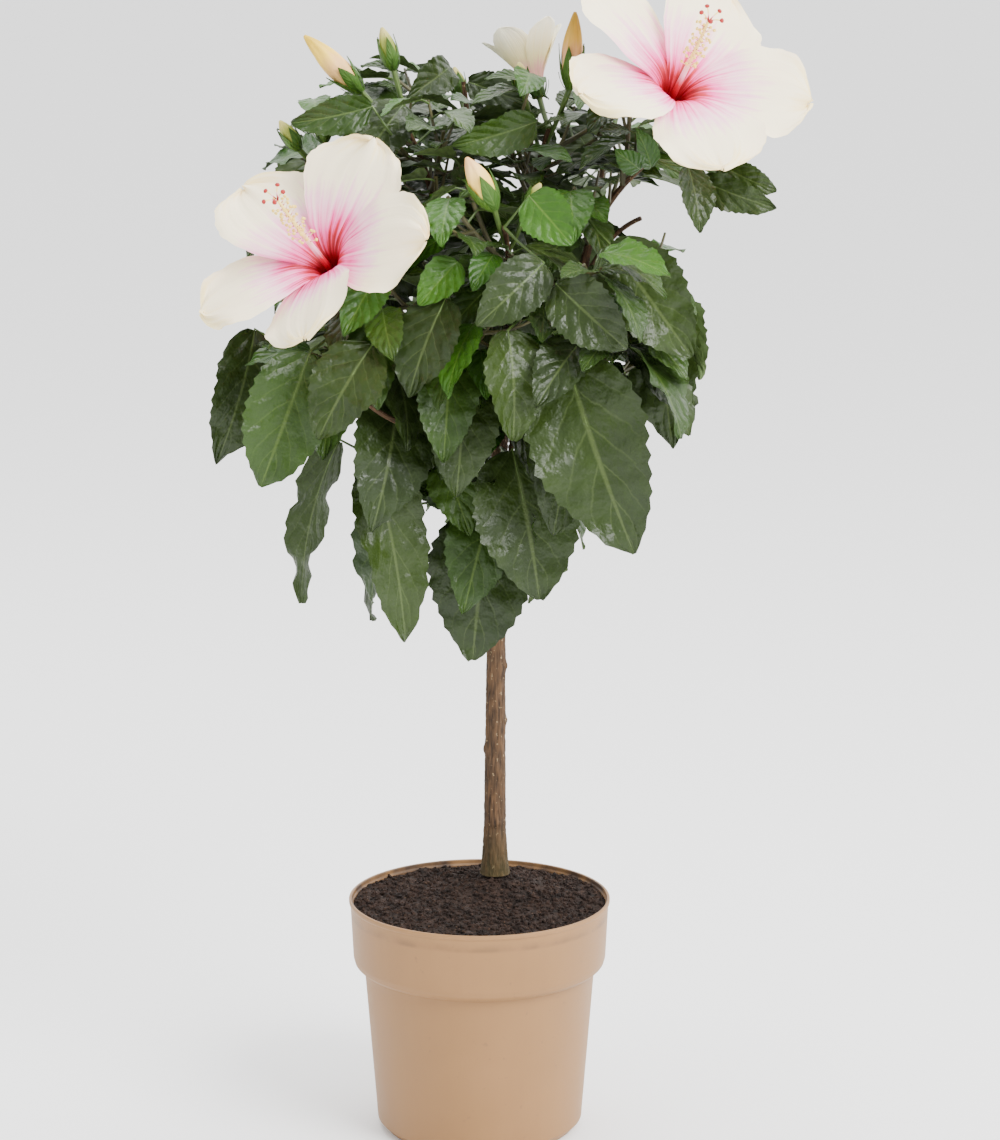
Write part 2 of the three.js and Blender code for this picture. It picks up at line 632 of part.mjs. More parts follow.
function massSolid(mass) {
  const shoots = mass.shoots.map((shoot) =>
    limb(shoot.curve, (t) => mix(shoot.radius, shoot.tipRadius, t), shoot.main ? 5 : 3, shoot.main ? 4 : 2));
  const buds = budsOf(mass.name).flatMap((bud) => budSolids(bud, mass.main));
  return fuse([fuse([...shoots, ...mass.leaves.map(leafSolid), ...buds]).subtract(trunkAndGap)]);
}

// ---------------------------------------------------------------- assembly
addNode("pot", pot(), "pot");
addNode("soil", soil(), "soil");
addNode("trunk", trunk(0), "bark");
const trunkAndGap = trunk(GAP);
Object.keys(BOUGHS).forEach((name) => addNode(`bough_${name}`, bough(name, trunkAndGap), "bark"));

claimLimbsAndFlowers();
const masses = Object.fromEntries(Object.keys(MASSES).map((name) => [name, sproutShoots(name)]));
Object.values(masses).forEach((mass) => {
  growLeaves(mass);
  addNode(`foliage_${mass.name}`, massSolid(mass), "leaf");
});
Object.entries(FLOWERS).forEach(([name, flower]) => {
  addNode(`flower_${name}`, flowerSolid(flower, masses[flower.mass].main), "petal");
});

export default plant;
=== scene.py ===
import math

import bmesh
import bpy
import numpy as np
from mathutils import Matrix, Vector, noise


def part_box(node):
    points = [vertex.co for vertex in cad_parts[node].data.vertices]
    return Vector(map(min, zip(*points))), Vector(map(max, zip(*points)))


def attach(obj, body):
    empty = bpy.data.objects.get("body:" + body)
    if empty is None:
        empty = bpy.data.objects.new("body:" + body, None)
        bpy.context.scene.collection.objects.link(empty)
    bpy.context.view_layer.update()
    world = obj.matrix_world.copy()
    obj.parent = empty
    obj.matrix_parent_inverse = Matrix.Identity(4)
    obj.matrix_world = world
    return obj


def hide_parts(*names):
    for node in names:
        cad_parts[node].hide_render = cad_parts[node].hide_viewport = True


# A young hibiscus grown as a standard: one bare stem with a round crown, in a plastic nursery pot.
# The pieces follow in the order in which such a plant is put together, from the pot up to the flowers.
# Sizes and places are in millimetres in the frame of the part, and MM turns them into Blender's metres.
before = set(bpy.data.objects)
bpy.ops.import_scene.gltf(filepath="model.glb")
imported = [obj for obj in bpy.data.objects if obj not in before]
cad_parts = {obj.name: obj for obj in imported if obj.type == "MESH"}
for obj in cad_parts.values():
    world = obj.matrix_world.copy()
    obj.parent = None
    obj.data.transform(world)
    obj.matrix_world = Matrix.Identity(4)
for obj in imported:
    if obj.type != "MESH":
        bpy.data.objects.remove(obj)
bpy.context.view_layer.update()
MM = 0.001
BODY = "root"

# ---------------------------------------------------------------- camera, floor and light
# The plant stands on a plain pale floor in a bright room, seen from its front and a little above, through a
# long lens that keeps the stem upright. Most of the light comes from the right, from large soft lamps and
# from the room itself, which is brightest on the right and behind.
CAMERA_PLACE = (13.4, -2400, 902.6)
CAMERA_PITCH = 12.447
IMAGE_LONG_SIDE = 1140
FOCAL_LENGTH = 3842          # in pixels of that side
SENSOR = 36                  # the sensor's long side in true millimetres

camera = bpy.data.objects.new("camera", bpy.data.cameras.new("camera"))
bpy.context.collection.objects.link(camera)
camera.location = Vector(CAMERA_PLACE) * MM
camera.rotation_euler = (math.radians(90 - CAMERA_PITCH), 0, 0)
camera.data.sensor_width = SENSOR
camera.data.lens = SENSOR * FOCAL_LENGTH / IMAGE_LONG_SIDE
bpy.context.scene.camera = camera


def srgb(red, green, blue):
    """A colour given as it looks, 0 to 255, as the linear colour that shaders take."""
    parts = [c / 255 for c in (red, green, blue)]
    return (*[c / 12.92 if c <= 0.04045 else ((c + 0.055) / 1.055) ** 2.4 for c in parts], 1)


def node(tree, kind, inputs=None, **settings):
    """A shader node with its settings, and with values or other nodes' sockets on its inputs."""
    made = tree.nodes.new(kind)
    for name, value in settings.items():
        setattr(made, name, value)
    for name, value in (inputs or {}).items():
        if isinstance(value, bpy.types.NodeSocket):
            tree.links.new(value, made.inputs[name])
        else:
            made.inputs[name].default_value = value
    return made


def maths(tree, operation, first, second=0.0):
    """The socket of two values taken together."""
    return node(tree, "ShaderNodeMath", {0: first, 1: second}, operation=operation).outputs[0]


def times(tree, first, second):
    """The socket of one value times another."""
    return maths(tree, "MULTIPLY", first, second)


def ranged(tree, value, start, end, low=0.0, high=1.0):
    """The socket of a value that goes from low to high as another goes from start to end."""
    inputs = {"Value": value, "From Min": start, "From Max": end, "To Min": low, "To Max": high}
    return node(tree, "ShaderNodeMapRange", inputs).outputs["Result"]


def blend(tree, factor, first, second):
    """The socket of a colour that goes from first to second, sockets or sRGB colours, as factor goes to 1."""
    first, second = [end if isinstance(end, bpy.types.NodeSocket) else srgb(*end) for end in (first, second)]
    return node(tree, "ShaderNodeMix", {0: factor, 6: first, 7: second}, data_type="RGBA").outputs[2]


def wired(tree, shader, **sockets):
    """Links sockets to a shader's inputs."""
    for name, socket in sockets.items():
        tree.links.new(socket, shader.inputs[name.replace("_", " ")])


def painted(name, **constants):
    """A new material, its node tree and its Principled shader, with the shader's constants set."""
    material = bpy.data.materials.new(name)
    material.use_nodes = True
    shader = material.node_tree.nodes["Principled BSDF"]
    for socket, value in constants.items():
        shader.inputs[socket.replace("_", " ")].default_value = value
    return material, material.node_tree, shader


def linked(name, mesh):
    """A new object in the scene from a bmesh, which is freed."""
    made = bpy.data.objects.new(name, bpy.data.meshes.new(name))
    mesh.to_mesh(made.data)
    mesh.free()
    bpy.context.collection.objects.link(made)
    return made


FLOOR_SIZE = 12000
floor_mesh = bmesh.new()
bmesh.ops.create_grid(floor_mesh, x_segments=1, y_segments=1, size=FLOOR_SIZE * MM)
floor = linked("floor", floor_mesh)
floor.data.materials.append(painted("floor_paint", Base_Color=srgb(244, 244, 244), Roughness=0.9)[0])

LIGHTS = {
    "key_light": {"place": (1500, -1500, 1900), "size": 1500, "watts": 118},
    "fill_light": {"place": (-1700, -1300, 1100), "size": 1700, "watts": 15.5},
    "top_light": {"place": (-200, 700, 2300), "size": 1600, "watts": 38.5},
}
LIGHTS_AIM = Vector((0, 0, 450))
for light_name, light in LIGHTS.items():
    lamp = bpy.data.objects.new(light_name, bpy.data.lights.new(light_name, "AREA"))
    lamp.data.shape = "DISK"
    lamp.data.size = light["size"] * MM
    lamp.data.energy = light["watts"]
    lamp.location = Vector(light["place"]) * MM
    lamp.rotation_euler = (LIGHTS_AIM - Vector(light["place"])).to_track_quat("-Z", "Y").to_euler()
    bpy.context.collection.objects.link(lamp)

ROOM_BRIGHT_SIDE = Vector((0.7, 0.6, 0.3)).normalized()
ROOM_LIGHT = (0.45, 3.2)
room = bpy.data.worlds.new("room")
room.use_nodes = True
walls = room.node_tree.nodes["Background"]
walls.inputs["Color"].default_value = srgb(252, 252, 252)
way = room.node_tree.nodes.new("ShaderNodeTexCoord").outputs["Generated"]
toward = node(room.node_tree, "ShaderNodeVectorMath", {0: way, 1: ROOM_BRIGHT_SIDE}, operation="DOT_PRODUCT")
wired(room.node_tree, walls, Strength=ranged(room.node_tree, toward.outputs["Value"], -1, 1, *ROOM_LIGHT))
bpy.context.scene.world = room


# ---------------------------------------------------------------- nursery pot
# A thin tapered pot of beige plastic, moulded in one piece: a plain body, a wider stacking collar that
# rounds in under itself, a thin rim, and low arched drain notches round the foot. Its skin is matt.
POT_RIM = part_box("pot")[1].x / MM
POT_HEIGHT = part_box("pot")[1].z / MM
POT_WALL = 2
POT_FLOOR = 2.5
POT_OUTSIDE = [
    (POT_RIM - 23.5, 0), (POT_RIM - 18, 6), (POT_RIM - 10.3, POT_HEIGHT - 52),
    (POT_RIM - 10, POT_HEIGHT - 46.2), (POT_RIM - 6.4, POT_HEIGHT - 45.2), (POT_RIM - 3.7, POT_HEIGHT - 42.6),
    (POT_RIM - 2.7, POT_HEIGHT - 39), (POT_RIM - 0.9, POT_HEIGHT - 3.4), (POT_RIM, POT_HEIGHT - 2.6),
    (POT_RIM, POT_HEIGHT),
]
POT_SIDES = 192
POT_BEVEL = 0.9
POT_SHARP = 12
NOTCHES = {"count": 5, "first": 230, "width": 20, "height": 3.6, "depth": 16}


def turned(mesh, profile, sides):
    """Spins a profile of (radius, height) round the upright axis, and closes it where it meets the axis."""
    corners = [mesh.verts.new((radius * MM, 0, height * MM)) for radius, height in profile]
    edges = [mesh.edges.new(pair) for pair in zip(corners, corners[1:])]
    bmesh.ops.spin(
        mesh, geom=corners + edges, cent=(0, 0, 0), axis=(0, 0, 1), angle=math.tau, steps=sides,
        use_merge=True,
    )
    bmesh.ops.remove_doubles(mesh, verts=mesh.verts, dist=0.01 * MM)
    bmesh.ops.recalc_face_normals(mesh, faces=mesh.faces)


def finished(name, mesh, material, slot, *nodes, sharp=35):
    """Makes a bmesh a shown piece of the plant, smooth but for its sharp edges, that replaces CAD nodes."""
    data = bpy.data.meshes.new(name)
    mesh.to_mesh(data)
    mesh.free()
    return shown(name, data, [material], nodes, sharp)


def shown(name, data, materials, nodes, sharp=50):
    """A piece of the plant from finished mesh data."""
    piece = bpy.data.objects.new(name, data)
    for material in materials:
        data.materials.append(material)
    data.shade_smooth()
    data.set_sharp_from_angle(angle=math.radians(sharp))
    bpy.context.collection.objects.link(piece)
    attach(piece, BODY)
    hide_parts(*nodes)
    return piece


def mottle_group():
    """Cloudy variation from one noise, stretched between two values, for every finish of the plant."""
    group = bpy.data.node_groups.new("mottle", "ShaderNodeTree")
    group.interface.new_socket(name="Vector", in_out="INPUT", socket_type="NodeSocketVector")
    for socket in ("Scale", "Detail", "From", "To"):
        group.interface.new_socket(name=socket, in_out="INPUT", socket_type="NodeSocketFloat")
    group.interface.new_socket(name="Value", in_out="OUTPUT", socket_type="NodeSocketFloat")
    given = group.nodes.new("NodeGroupInput").outputs
    cloud = node(group, "ShaderNodeTexNoise", {name: given[name] for name in ("Vector", "Scale", "Detail")})
    result = group.nodes.new("NodeGroupOutput")
    wired(group, result, Value=ranged(group, cloud.outputs["Fac"], given["From"], given["To"]))
    return group


MOTTLE = mottle_group()


def mottle(tree, vector, scale, detail=4.0, low=0.35, high=0.65):
    """The socket of a cloudy value from 0 to 1, over a vector's space."""
    inputs = {"Vector": vector, "Scale": scale, "Detail": detail, "From": low, "To": high}
    return node(tree, "ShaderNodeGroup", inputs, node_tree=MOTTLE).outputs[0]


def here(tree):
    """The socket of the place on an object."""
    return tree.nodes.new("ShaderNodeTexCoord").outputs["Object"]


def stretched(tree, vector, *scale):
    """The socket of a vector that is scaled along its axes."""
    return node(tree, "ShaderNodeMapping", {"Vector": vector, "Scale": scale}).outputs["Vector"]


def split_up(tree, vector, part):
    """The socket of one part of a vector."""
    return node(tree, "ShaderNodeSeparateXYZ", {"Vector": vector}).outputs[part]


def bumped(tree, shader, height, distance, strength=1.0):
    """Puts a relief of that many millimetres, from a height of 0 to 1, on a shader."""
    inputs = {"Height": height, "Distance": distance * MM, "Strength": strength}
    wired(tree, shader, Normal=node(tree, "ShaderNodeBump", inputs).outputs["Normal"])


def pot_plastic():
    """Beige plastic with a fine grain and faint flow marks, a few stains, and soil smeared inside the rim."""
    material, tree, shader = painted("pot_plastic", Specular_IOR_Level=0.42)
    place = here(tree)
    cloud = mottle(tree, place, 14.0, detail=3.0)
    colour = blend(tree, cloud, (136, 99, 57), (143, 105, 63))
    flow = mottle(tree, stretched(tree, place, 1, 1, 0.08), 90.0)
    colour = blend(tree, times(tree, flow, 0.2), colour, (131, 94, 56))
    stain = mottle(tree, place, 210.0, detail=6.0, low=0.66, high=0.76)
    colour = blend(tree, times(tree, stain, 0.45), colour, (107, 80, 56))
    level = node(tree, "ShaderNodeVectorMath", {0: place, 1: (1, 1, 0)}, operation="MULTIPLY").outputs[0]
    radius = node(tree, "ShaderNodeVectorMath", {0: level}, operation="LENGTH").outputs["Value"]
    inside_wall = ranged(tree, radius, (POT_RIM - 1) * MM, (POT_RIM - 1.6) * MM, 0, 0.9)
    collar_high = ranged(tree, split_up(tree, place, "Z"), (POT_HEIGHT - 12) * MM, (POT_HEIGHT - 10) * MM)
    smear = mottle(tree, place, 60.0, detail=5.0, low=0.3, high=0.62)
    grime = times(tree, times(tree, inside_wall, collar_high), smear)
    colour = blend(tree, grime, colour, (54, 38, 29))
    wired(tree, shader, Base_Color=colour, Roughness=ranged(tree, cloud, 0, 1, 0.46, 0.56))
    bumped(tree, shader, mottle(tree, place, 2600.0, detail=2.0), 0.05, 0.6)
    return material


inside = [(radius - POT_WALL, height) for radius, height in reversed(POT_OUTSIDE[1:])]
inside[-1] = (POT_OUTSIDE[1][0] - POT_WALL - 3, POT_FLOOR)
pot_mesh = bmesh.new()
turned(pot_mesh, [(0, 0), *POT_OUTSIDE, *inside, (0, POT_FLOOR)], POT_SIDES)
level_edges = [e for e in pot_mesh.edges if abs(e.verts[0].co.z - e.verts[1].co.z) < 0.001 * MM]
rings = [edge for edge in level_edges if edge.calc_face_angle(0) > math.radians(POT_SHARP)]
bmesh.ops.bevel(
    pot_mesh, geom=rings, offset=POT_BEVEL * MM, affect="EDGES", segments=3, profile=0.5, material=-1,
    clamp_overlap=True,
)

# The notches are cut by drums that lie across the foot, round side up.
notch_drum = (NOTCHES["width"] ** 2 / 4 + NOTCHES["height"] ** 2) / (2 * NOTCHES["height"])
cutter_mesh = bmesh.new()
for number in range(NOTCHES["count"]):
    bearing = math.radians(NOTCHES["first"] + 360 * number / NOTCHES["count"])
    out = Vector((math.cos(bearing), math.sin(bearing), 0))
    drum_middle = out * POT_OUTSIDE[0][0] + Vector((0, 0, NOTCHES["height"] - notch_drum))
    place = Matrix.Translation(drum_middle * MM)
    bmesh.ops.create_cone(
        cutter_mesh, cap_ends=True, segments=96, radius1=notch_drum * MM, radius2=notch_drum * MM,
        depth=NOTCHES["depth"] * MM, matrix=place @ out.to_track_quat("Z", "Y").to_matrix().to_4x4(),
    )
cutter = linked("notch_cutter", cutter_mesh)
uncut = linked("uncut_pot", pot_mesh)
cut = uncut.modifiers.new("notches", "BOOLEAN")
cut.operation = "DIFFERENCE"
cut.object = cutter
cut.solver = "EXACT"
bpy.context.view_layer.update()
pot_data = bpy.data.meshes.new_from_object(uncut.evaluated_get(bpy.context.evaluated_depsgraph_get()))
bpy.data.objects.remove(uncut)
bpy.data.objects.remove(cutter)
shown("nursery_pot", pot_data, [pot_plastic()], ["pot"], sharp=35)


# ---------------------------------------------------------------- soil
# The pot is filled with dark, moist peat to just under its rim, a little higher round the stem. Its surface
# is rough, and loose crumbs of many sizes lie all over it.
SOIL_EDGE = POT_HEIGHT - 3.2
SOIL_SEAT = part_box("soil")[1].z / MM
SOIL_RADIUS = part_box("soil")[1].x / MM
SOIL_RINGS = 46
MOUND_SPREAD = 26
STEM_CLEARANCE = 9
STEM_FOOT = (10, 30)
CRUMB_COUNT = 5200
CRUMB_SIZE = (0.45, 2.3)


def soil_height(x, y):
    """The height of the peat's surface: a low mound round the stem, lumps, and fine grain."""
    apart = math.hypot(x - STEM_FOOT[0], y - STEM_FOOT[1])
    mound = (SOIL_SEAT - SOIL_EDGE) * math.exp(-((apart / MOUND_SPREAD) ** 2))
    lumps = 1.5 * noise.noise(Vector((x, y, 0)) / 11) + 0.8 * noise.noise(Vector((x, y, 9)) / 3.6)
    grain = 0.45 * noise.noise(Vector((x, y, 20)) / 1.3)
    return SOIL_EDGE - 0.8 + mound + lumps + grain


def peat():
    """Dark peat, with lighter and darker crumbs and a dull, rough face."""
    material, tree, shader = painted("peat", Roughness=0.95, Specular_IOR_Level=0.25)
    place = here(tree)
    colour = blend(tree, mottle(tree, place, 160.0), (24, 16, 12), (49, 35, 28))
    colour = blend(tree, mottle(tree, place, 520.0, low=0.6, high=0.72), colour, (78, 58, 45))
    wired(tree, shader, Base_Color=colour)
    bumped(tree, shader, mottle(tree, place, 900.0), 0.5)
    return material


PEAT = peat()
pot_corners = [(SOIL_RADIUS - 1, SOIL_EDGE - 3), (POT_RIM - 12.6, POT_HEIGHT - 47.5), (POT_RIM - 20.5, 6)]
soil_mesh = bmesh.new()
surface = [(SOIL_RADIUS * ring / SOIL_RINGS, SOIL_EDGE) for ring in range(SOIL_RINGS + 1)]
turned(soil_mesh, [*surface, *pot_corners, (POT_RIM - 27, POT_FLOOR + 0.3), (0, POT_FLOOR + 0.3)], POT_SIDES)
for vertex in soil_mesh.verts:
    if abs(vertex.co.z / MM - SOIL_EDGE) < 0.01:
        vertex.co.z = soil_height(vertex.co.x / MM, vertex.co.y / MM) * MM
finished("soil_bed", soil_mesh, PEAT, "soil", "soil", sharp=180)


def joined_piece(name, parts, materials, nodes, sharp=50):
    """One piece from many small parts, each with points and faces and maybe uv, grain, tone and finish."""
    starts = np.cumsum([0] + [len(part["points"]) for part in parts])
    faces = [
        [index + start for index in face] for part, start in zip(parts, starts) for face in part["faces"]
    ]
    data = bpy.data.meshes.new(name)
    data.from_pydata(np.concatenate([part["points"] for part in parts]) * MM, [], faces)
    corners = np.zeros(len(data.loops), dtype=np.int32)
    data.loops.foreach_get("vertex_index", corners)
    if "uv" in parts[0]:
        spots = np.concatenate([part["uv"] for part in parts])
        data.uv_layers.new(name="lay").data.foreach_set("uv", spots[corners].astype(np.float32).ravel())
    if "grain" in parts[0]:
        rows = np.concatenate([part["grain"] for part in parts]) * MM
        grain = data.attributes.new("grain", "FLOAT_VECTOR", "POINT")
        grain.data.foreach_set("vector", rows.astype(np.float32).ravel())
    if "tone" in parts[0]:
        rows = np.repeat([part["tone"] for part in parts], np.diff(starts))
        data.attributes.new("tone", "FLOAT", "POINT").data.foreach_set("value", rows.astype(np.float32))
    if "finish" in parts[0]:
        rows = np.concatenate([part["finish"] for part in parts])
        data.polygons.foreach_set("material_index", rows.astype(np.int32))
    data.update()
    return shown(name, data, materials, nodes, sharp)


# Each crumb is a lump with its own size, flatness and turn, half sunk in the surface.
lump = bmesh.new()
bmesh.ops.create_icosphere(lump, subdivisions=1, radius=1)
lump_points = np.array([vertex.co for vertex in lump.verts])
lump_faces = [[vertex.index for vertex in face.verts] for face in lump.faces]
lump.free()
chance = np.random.default_rng(11)
crumbs = []
for _ in range(CRUMB_COUNT):
    reach = (SOIL_RADIUS - 1.5) * math.sqrt(chance.random())
    bearing = chance.random() * math.tau
    size = CRUMB_SIZE[0] + (CRUMB_SIZE[1] - CRUMB_SIZE[0]) * chance.random() ** 3
    rough = lump_points * chance.uniform(0.6, 1.25, lump_points.shape) * (1, 0.85, 0.7)
    turn = np.linalg.qr(chance.normal(size=(3, 3)))[0]
    turn *= np.sign(np.linalg.det(turn))
    x, y = reach * math.cos(bearing), reach * math.sin(bearing)
    if math.hypot(x - STEM_FOOT[0], y - STEM_FOOT[1]) < STEM_CLEARANCE:
        continue
    at = (x, y, soil_height(x, y) + 0.25 * size)
    crumbs.append({"points": (rough * size) @ turn.T + at, "faces": lump_faces})
joined_piece("soil_crumbs", crumbs, [PEAT], ["soil"], sharp=30)


# ---------------------------------------------------------------- trunk
# One bare stem, bent slightly, that flares at its foot. Its thin brown bark has split into long upright
# fissures, is greenish where it is damp near the soil, and keeps a knobbly scar wherever a leaf once stood.
TRUNK = {
    "foot": (10, 30, 162), "waist": (10, 30, 318), "top": (14, 26, 476),
    "foot_radius": 7.2, "top_radius": 4.8, "flare": 2.6, "flare_height": 16,
}
SCARS = [
    (198, 275), (230, 312), (303, 338), (183, 120), (213, 60), (247, 200), (266, 20), (284, 255), (321, 160),
]
SCAR = {"rise": 1.5, "tall": 3.0, "wide": 0.5}
BARK_RELIEF = 0.55
DAMP_TO, DRY_FROM = 165, 200


def curve_at(curve, t):
    """Points of a bend through three control points, at ways t along it."""
    t = np.atleast_1d(t)[:, None]
    return (1 - t) ** 2 * curve[0] + 2 * (1 - t) * t * curve[1] + t ** 2 * curve[2]


def unit(v):
    """Vectors of length 1."""
    return v / np.linalg.norm(v, axis=-1, keepdims=True)


def heading_at(curve, t):
    """Unit tangents of a bend, over a short step each way."""
    t = np.atleast_1d(t)
    return unit(curve_at(curve, np.minimum(t + 0.0001, 1)) - curve_at(curve, np.maximum(t - 0.0001, 0)))


def across_them(tangents):
    """Two unit directions across each tangent of a curve, square to each other."""
    level = np.array((1, 0, 0) if abs(tangents[0][2]) > 0.9 else (0, 0, 1))
    first = unit(np.cross(tangents[0], level))
    across = unit(first - (tangents @ first)[:, None] * tangents)
    return across, np.cross(tangents, across)


def add_limb(mesh, grain, curve, radius_at, sides, steps, relief):
    """Bends a round bar along a curve, and keeps the straight bar's own space as the grain of the bark."""
    before = set(mesh.verts)
    bmesh.ops.create_cone(mesh, cap_ends=True, segments=sides, radius1=1, radius2=1, depth=1)
    bar = [vertex for vertex in mesh.verts if vertex not in before]
    upright = {e for v in bar for e in v.link_edges if abs(e.verts[0].co.z - e.verts[1].co.z) > 0.5}
    bmesh.ops.subdivide_edges(mesh, edges=list(upright), cuts=steps - 1)
    bar = [vertex for vertex in mesh.verts if vertex not in before]
    t = np.array([vertex.co.z + 0.5 for vertex in bar])
    angle = np.array([math.atan2(vertex.co.y, vertex.co.x) for vertex in bar])
    order = np.argsort(t, kind="stable")
    points, across, other = np.empty((3, len(bar), 3))
    points[order] = curve_at(curve, t[order])
    across[order], other[order] = across_them(heading_at(curve, t[order]))
    length = np.linalg.norm(np.diff(curve_at(curve, np.linspace(0, 1, 50)), axis=0), axis=1).sum()
    for number, vertex in enumerate(bar):
        a, along, radius = angle[number], t[number] * length, radius_at(t[number], points[number][2])
        vertex[grain] = Vector((math.cos(a) * radius, math.sin(a) * radius, along)) * MM
        radius += relief(vertex[grain] / MM, a, points[number][2])
        side = across[number] * math.cos(a) + other[number] * math.sin(a)
        vertex.co = Vector(points[number] + side * radius) * MM


def fissures(grain):
    """The height of bark that is split along its grain, about -1 in a crack and 0.5 on a ridge."""
    stretched = Vector((grain.x * 0.55, grain.y * 0.55, grain.z * 0.07))
    crack = abs(noise.noise(stretched)) + 0.5 * abs(noise.noise(stretched * 2.3))
    return min(0.5, 2.6 * crack - 0.6) + 0.35 * noise.noise(grain / 2.2)


def trunk_radius(z):
    """The trunk's plain radius at a height."""
    above = z - TRUNK["foot"][2]
    share = above / (TRUNK["top"][2] - TRUNK["foot"][2])
    taper = TRUNK["foot_radius"] + (TRUNK["top_radius"] - TRUNK["foot_radius"]) * share
    return taper + TRUNK["flare"] * math.exp(-above / TRUNK["flare_height"])


def trunk_relief(grain, angle, z):
    """Fissures, and a scar's knob where a leaf stood."""
    rise = BARK_RELIEF * fissures(grain)
    for height, bearing in SCARS:
        turn = (angle + math.radians(90 - bearing) + math.pi) % math.tau - math.pi
        rise += SCAR["rise"] * math.exp(-(((z - height) / SCAR["tall"]) ** 2) - (turn / SCAR["wide"]) ** 2)
    return rise


def bark():
    """Brown bark with dark fissures, pale ridges and specks, and a green film where it stays damp."""
    material, tree, shader = painted("bark", Roughness=0.85, Specular_IOR_Level=0.3)
    grain = node(tree, "ShaderNodeAttribute", attribute_name="grain").outputs["Vector"]
    split = mottle(tree, stretched(tree, grain, 1, 1, 0.14), 620.0, detail=5.0)
    colour = blend(tree, split, (36, 24, 15), (92, 67, 44))
    cloud = mottle(tree, grain, 75.0, detail=3.0)
    colour = blend(tree, times(tree, cloud, 0.4), colour, (72, 56, 40))
    speck = mottle(tree, grain, 430.0, detail=2.0, low=0.66, high=0.72)
    colour = blend(tree, times(tree, speck, 0.8), colour, (146, 125, 94))
    damp = ranged(tree, split_up(tree, here(tree), "Z"), DRY_FROM * MM, DAMP_TO * MM, 0, 0.5)
    wired(tree, shader, Base_Color=blend(tree, damp, colour, (58, 56, 26)))
    bumped(tree, shader, split, 0.5)
    return material


BARK = bark()
TRUNK_CURVE = np.array([TRUNK["foot"], TRUNK["waist"], TRUNK["top"]], dtype=float)
trunk_mesh = bmesh.new()
trunk_grain = trunk_mesh.verts.layers.float_vector.new("grain")
add_limb(trunk_mesh, trunk_grain, TRUNK_CURVE, lambda t, z: trunk_radius(z), 56, 420, trunk_relief)
finished("trunk_bark", trunk_mesh, BARK, "bark", "trunk", sharp=60)


# ---------------------------------------------------------------- boughs
# Thirteen slim boughs leave the top of the trunk at their own heights and bearings, sweep out and up, and
# taper to where their foliage starts. Their bark is younger and smoother than the trunk's.
def table(columns, rows):
    """Rows by name, with a name for the value in each column. A row may leave out its last columns."""
    return {name: dict(zip(columns, row)) for name, row in rows.items()}


BOUGHS = table(("from", "bearing", "reach", "height", "radius"), {
    "left": (428, 216, 84, 486, 3.9),
    "front_left": (411, 252, 62, 484, 3.5),
    "upper_left": (452, 200, 40, 584, 3.6),
    "crown": (458, 352, 20, 594, 3.6),
    "right": (443, 336, 58, 568, 3.8),
    "front": (436, 276, 66, 536, 3.8),
    "front_right": (420, 316, 72, 486, 3.5),
    "top": (463, 118, 34, 592, 3.5),
    "back_left": (432, 142, 82, 536, 3.6),
    "back_right": (436, 44, 78, 556, 3.6),
    "back": (416, 92, 66, 500, 3.4),
    "side_left": (442, 178, 70, 546, 3.4),
    "side_right": (428, 8, 72, 512, 3.3),
})
TIP_TAPER = 0.72
KNEE_OUT = 0.78
KNEE_UP = 0.4


def bearing_vector(bearing):
    """A level unit vector: 0 to the right, 90 to the back, 270 to the front."""
    return np.array((math.cos(math.radians(bearing)), math.sin(math.radians(bearing)), 0))


def mix(first, second, share):
    """A value between two others."""
    return first + (second - first) * share


def trunk_point(height):
    """The trunk's middle at a height."""
    low, high = 0.0, 1.0
    for _ in range(30):
        middle = (low + high) / 2
        if curve_at(TRUNK_CURVE, middle)[0][2] < height:
            low = middle
        else:
            high = middle
    return curve_at(TRUNK_CURVE, low)[0]


def bough_curve(bough):
    """From the middle of the trunk out to a knee, and up to the tip."""
    foot = trunk_point(bough["from"])
    out = bearing_vector(bough["bearing"])
    knee = foot + out * bough["reach"] * KNEE_OUT
    knee[2] = mix(bough["from"], bough["height"], KNEE_UP)
    tip = foot + out * bough["reach"]
    tip[2] = bough["height"]
    return np.array([foot, knee, tip])


BOUGH_CURVES = {name: bough_curve(bough) for name, bough in BOUGHS.items()}
boughs_mesh = bmesh.new()
boughs_grain = boughs_mesh.verts.layers.float_vector.new("grain")
for bough_name, curve in BOUGH_CURVES.items():
    def bough_radius(t, z, radius=BOUGHS[bough_name]["radius"]):
        return radius * mix(1, TIP_TAPER, t) + radius * 0.5 * math.exp(-t * 14)

    def bough_relief(grain, angle, z):
        return 0.25 * fissures(grain)

    add_limb(boughs_mesh, boughs_grain, curve, bough_radius, 18, 70, bough_relief)
finished("bough_bark", boughs_mesh, BARK, "bark", *[f"bough_{name}" for name in BOUGHS], sharp=60)


# ---------------------------------------------------------------- how the crown grows
# Every mass of foliage springs from a bough's tip, or low on the trunk: a main shoot, side shoots, and a leaf
# at each turn of the golden angle, old and hanging at the foot of a shoot, young and held up at its end. A
# leaf or twig that finds no room is left out. Then finer twigs fill in, within the same reach.
GOLDEN_ANGLE = 137.5
CROWN_FOOT = 320
LEAF_CLEARANCE = 5.5
STALK_CLEARANCE = 2.5
ATTEMPTS = 8
SWING = 28
STALK_SHARE = (0.2, 0.28)
LEAF_PITCH = (26, -56)
LEAF_CURL = (18, 52)
LEAF_ROLL = 56
LEAF_SLIM = 0.3
SHOOT_LENGTH = (38, 58)
SHOOT_BEND = 0.55
SHOOT_RISE = 0.25
SHOOT_RADII = (1.9, 1.3)
SIDE_LEAVES = 4
MAIN_TIP_RADIUS = 1.5
TAKEN = {
    "trunk": 5.6, "petal": 1.6, "tube": 7, "flower_stalk": 3.5, "column": 9, "bud_stalk": 1.1, "shoot": 1.6,
}
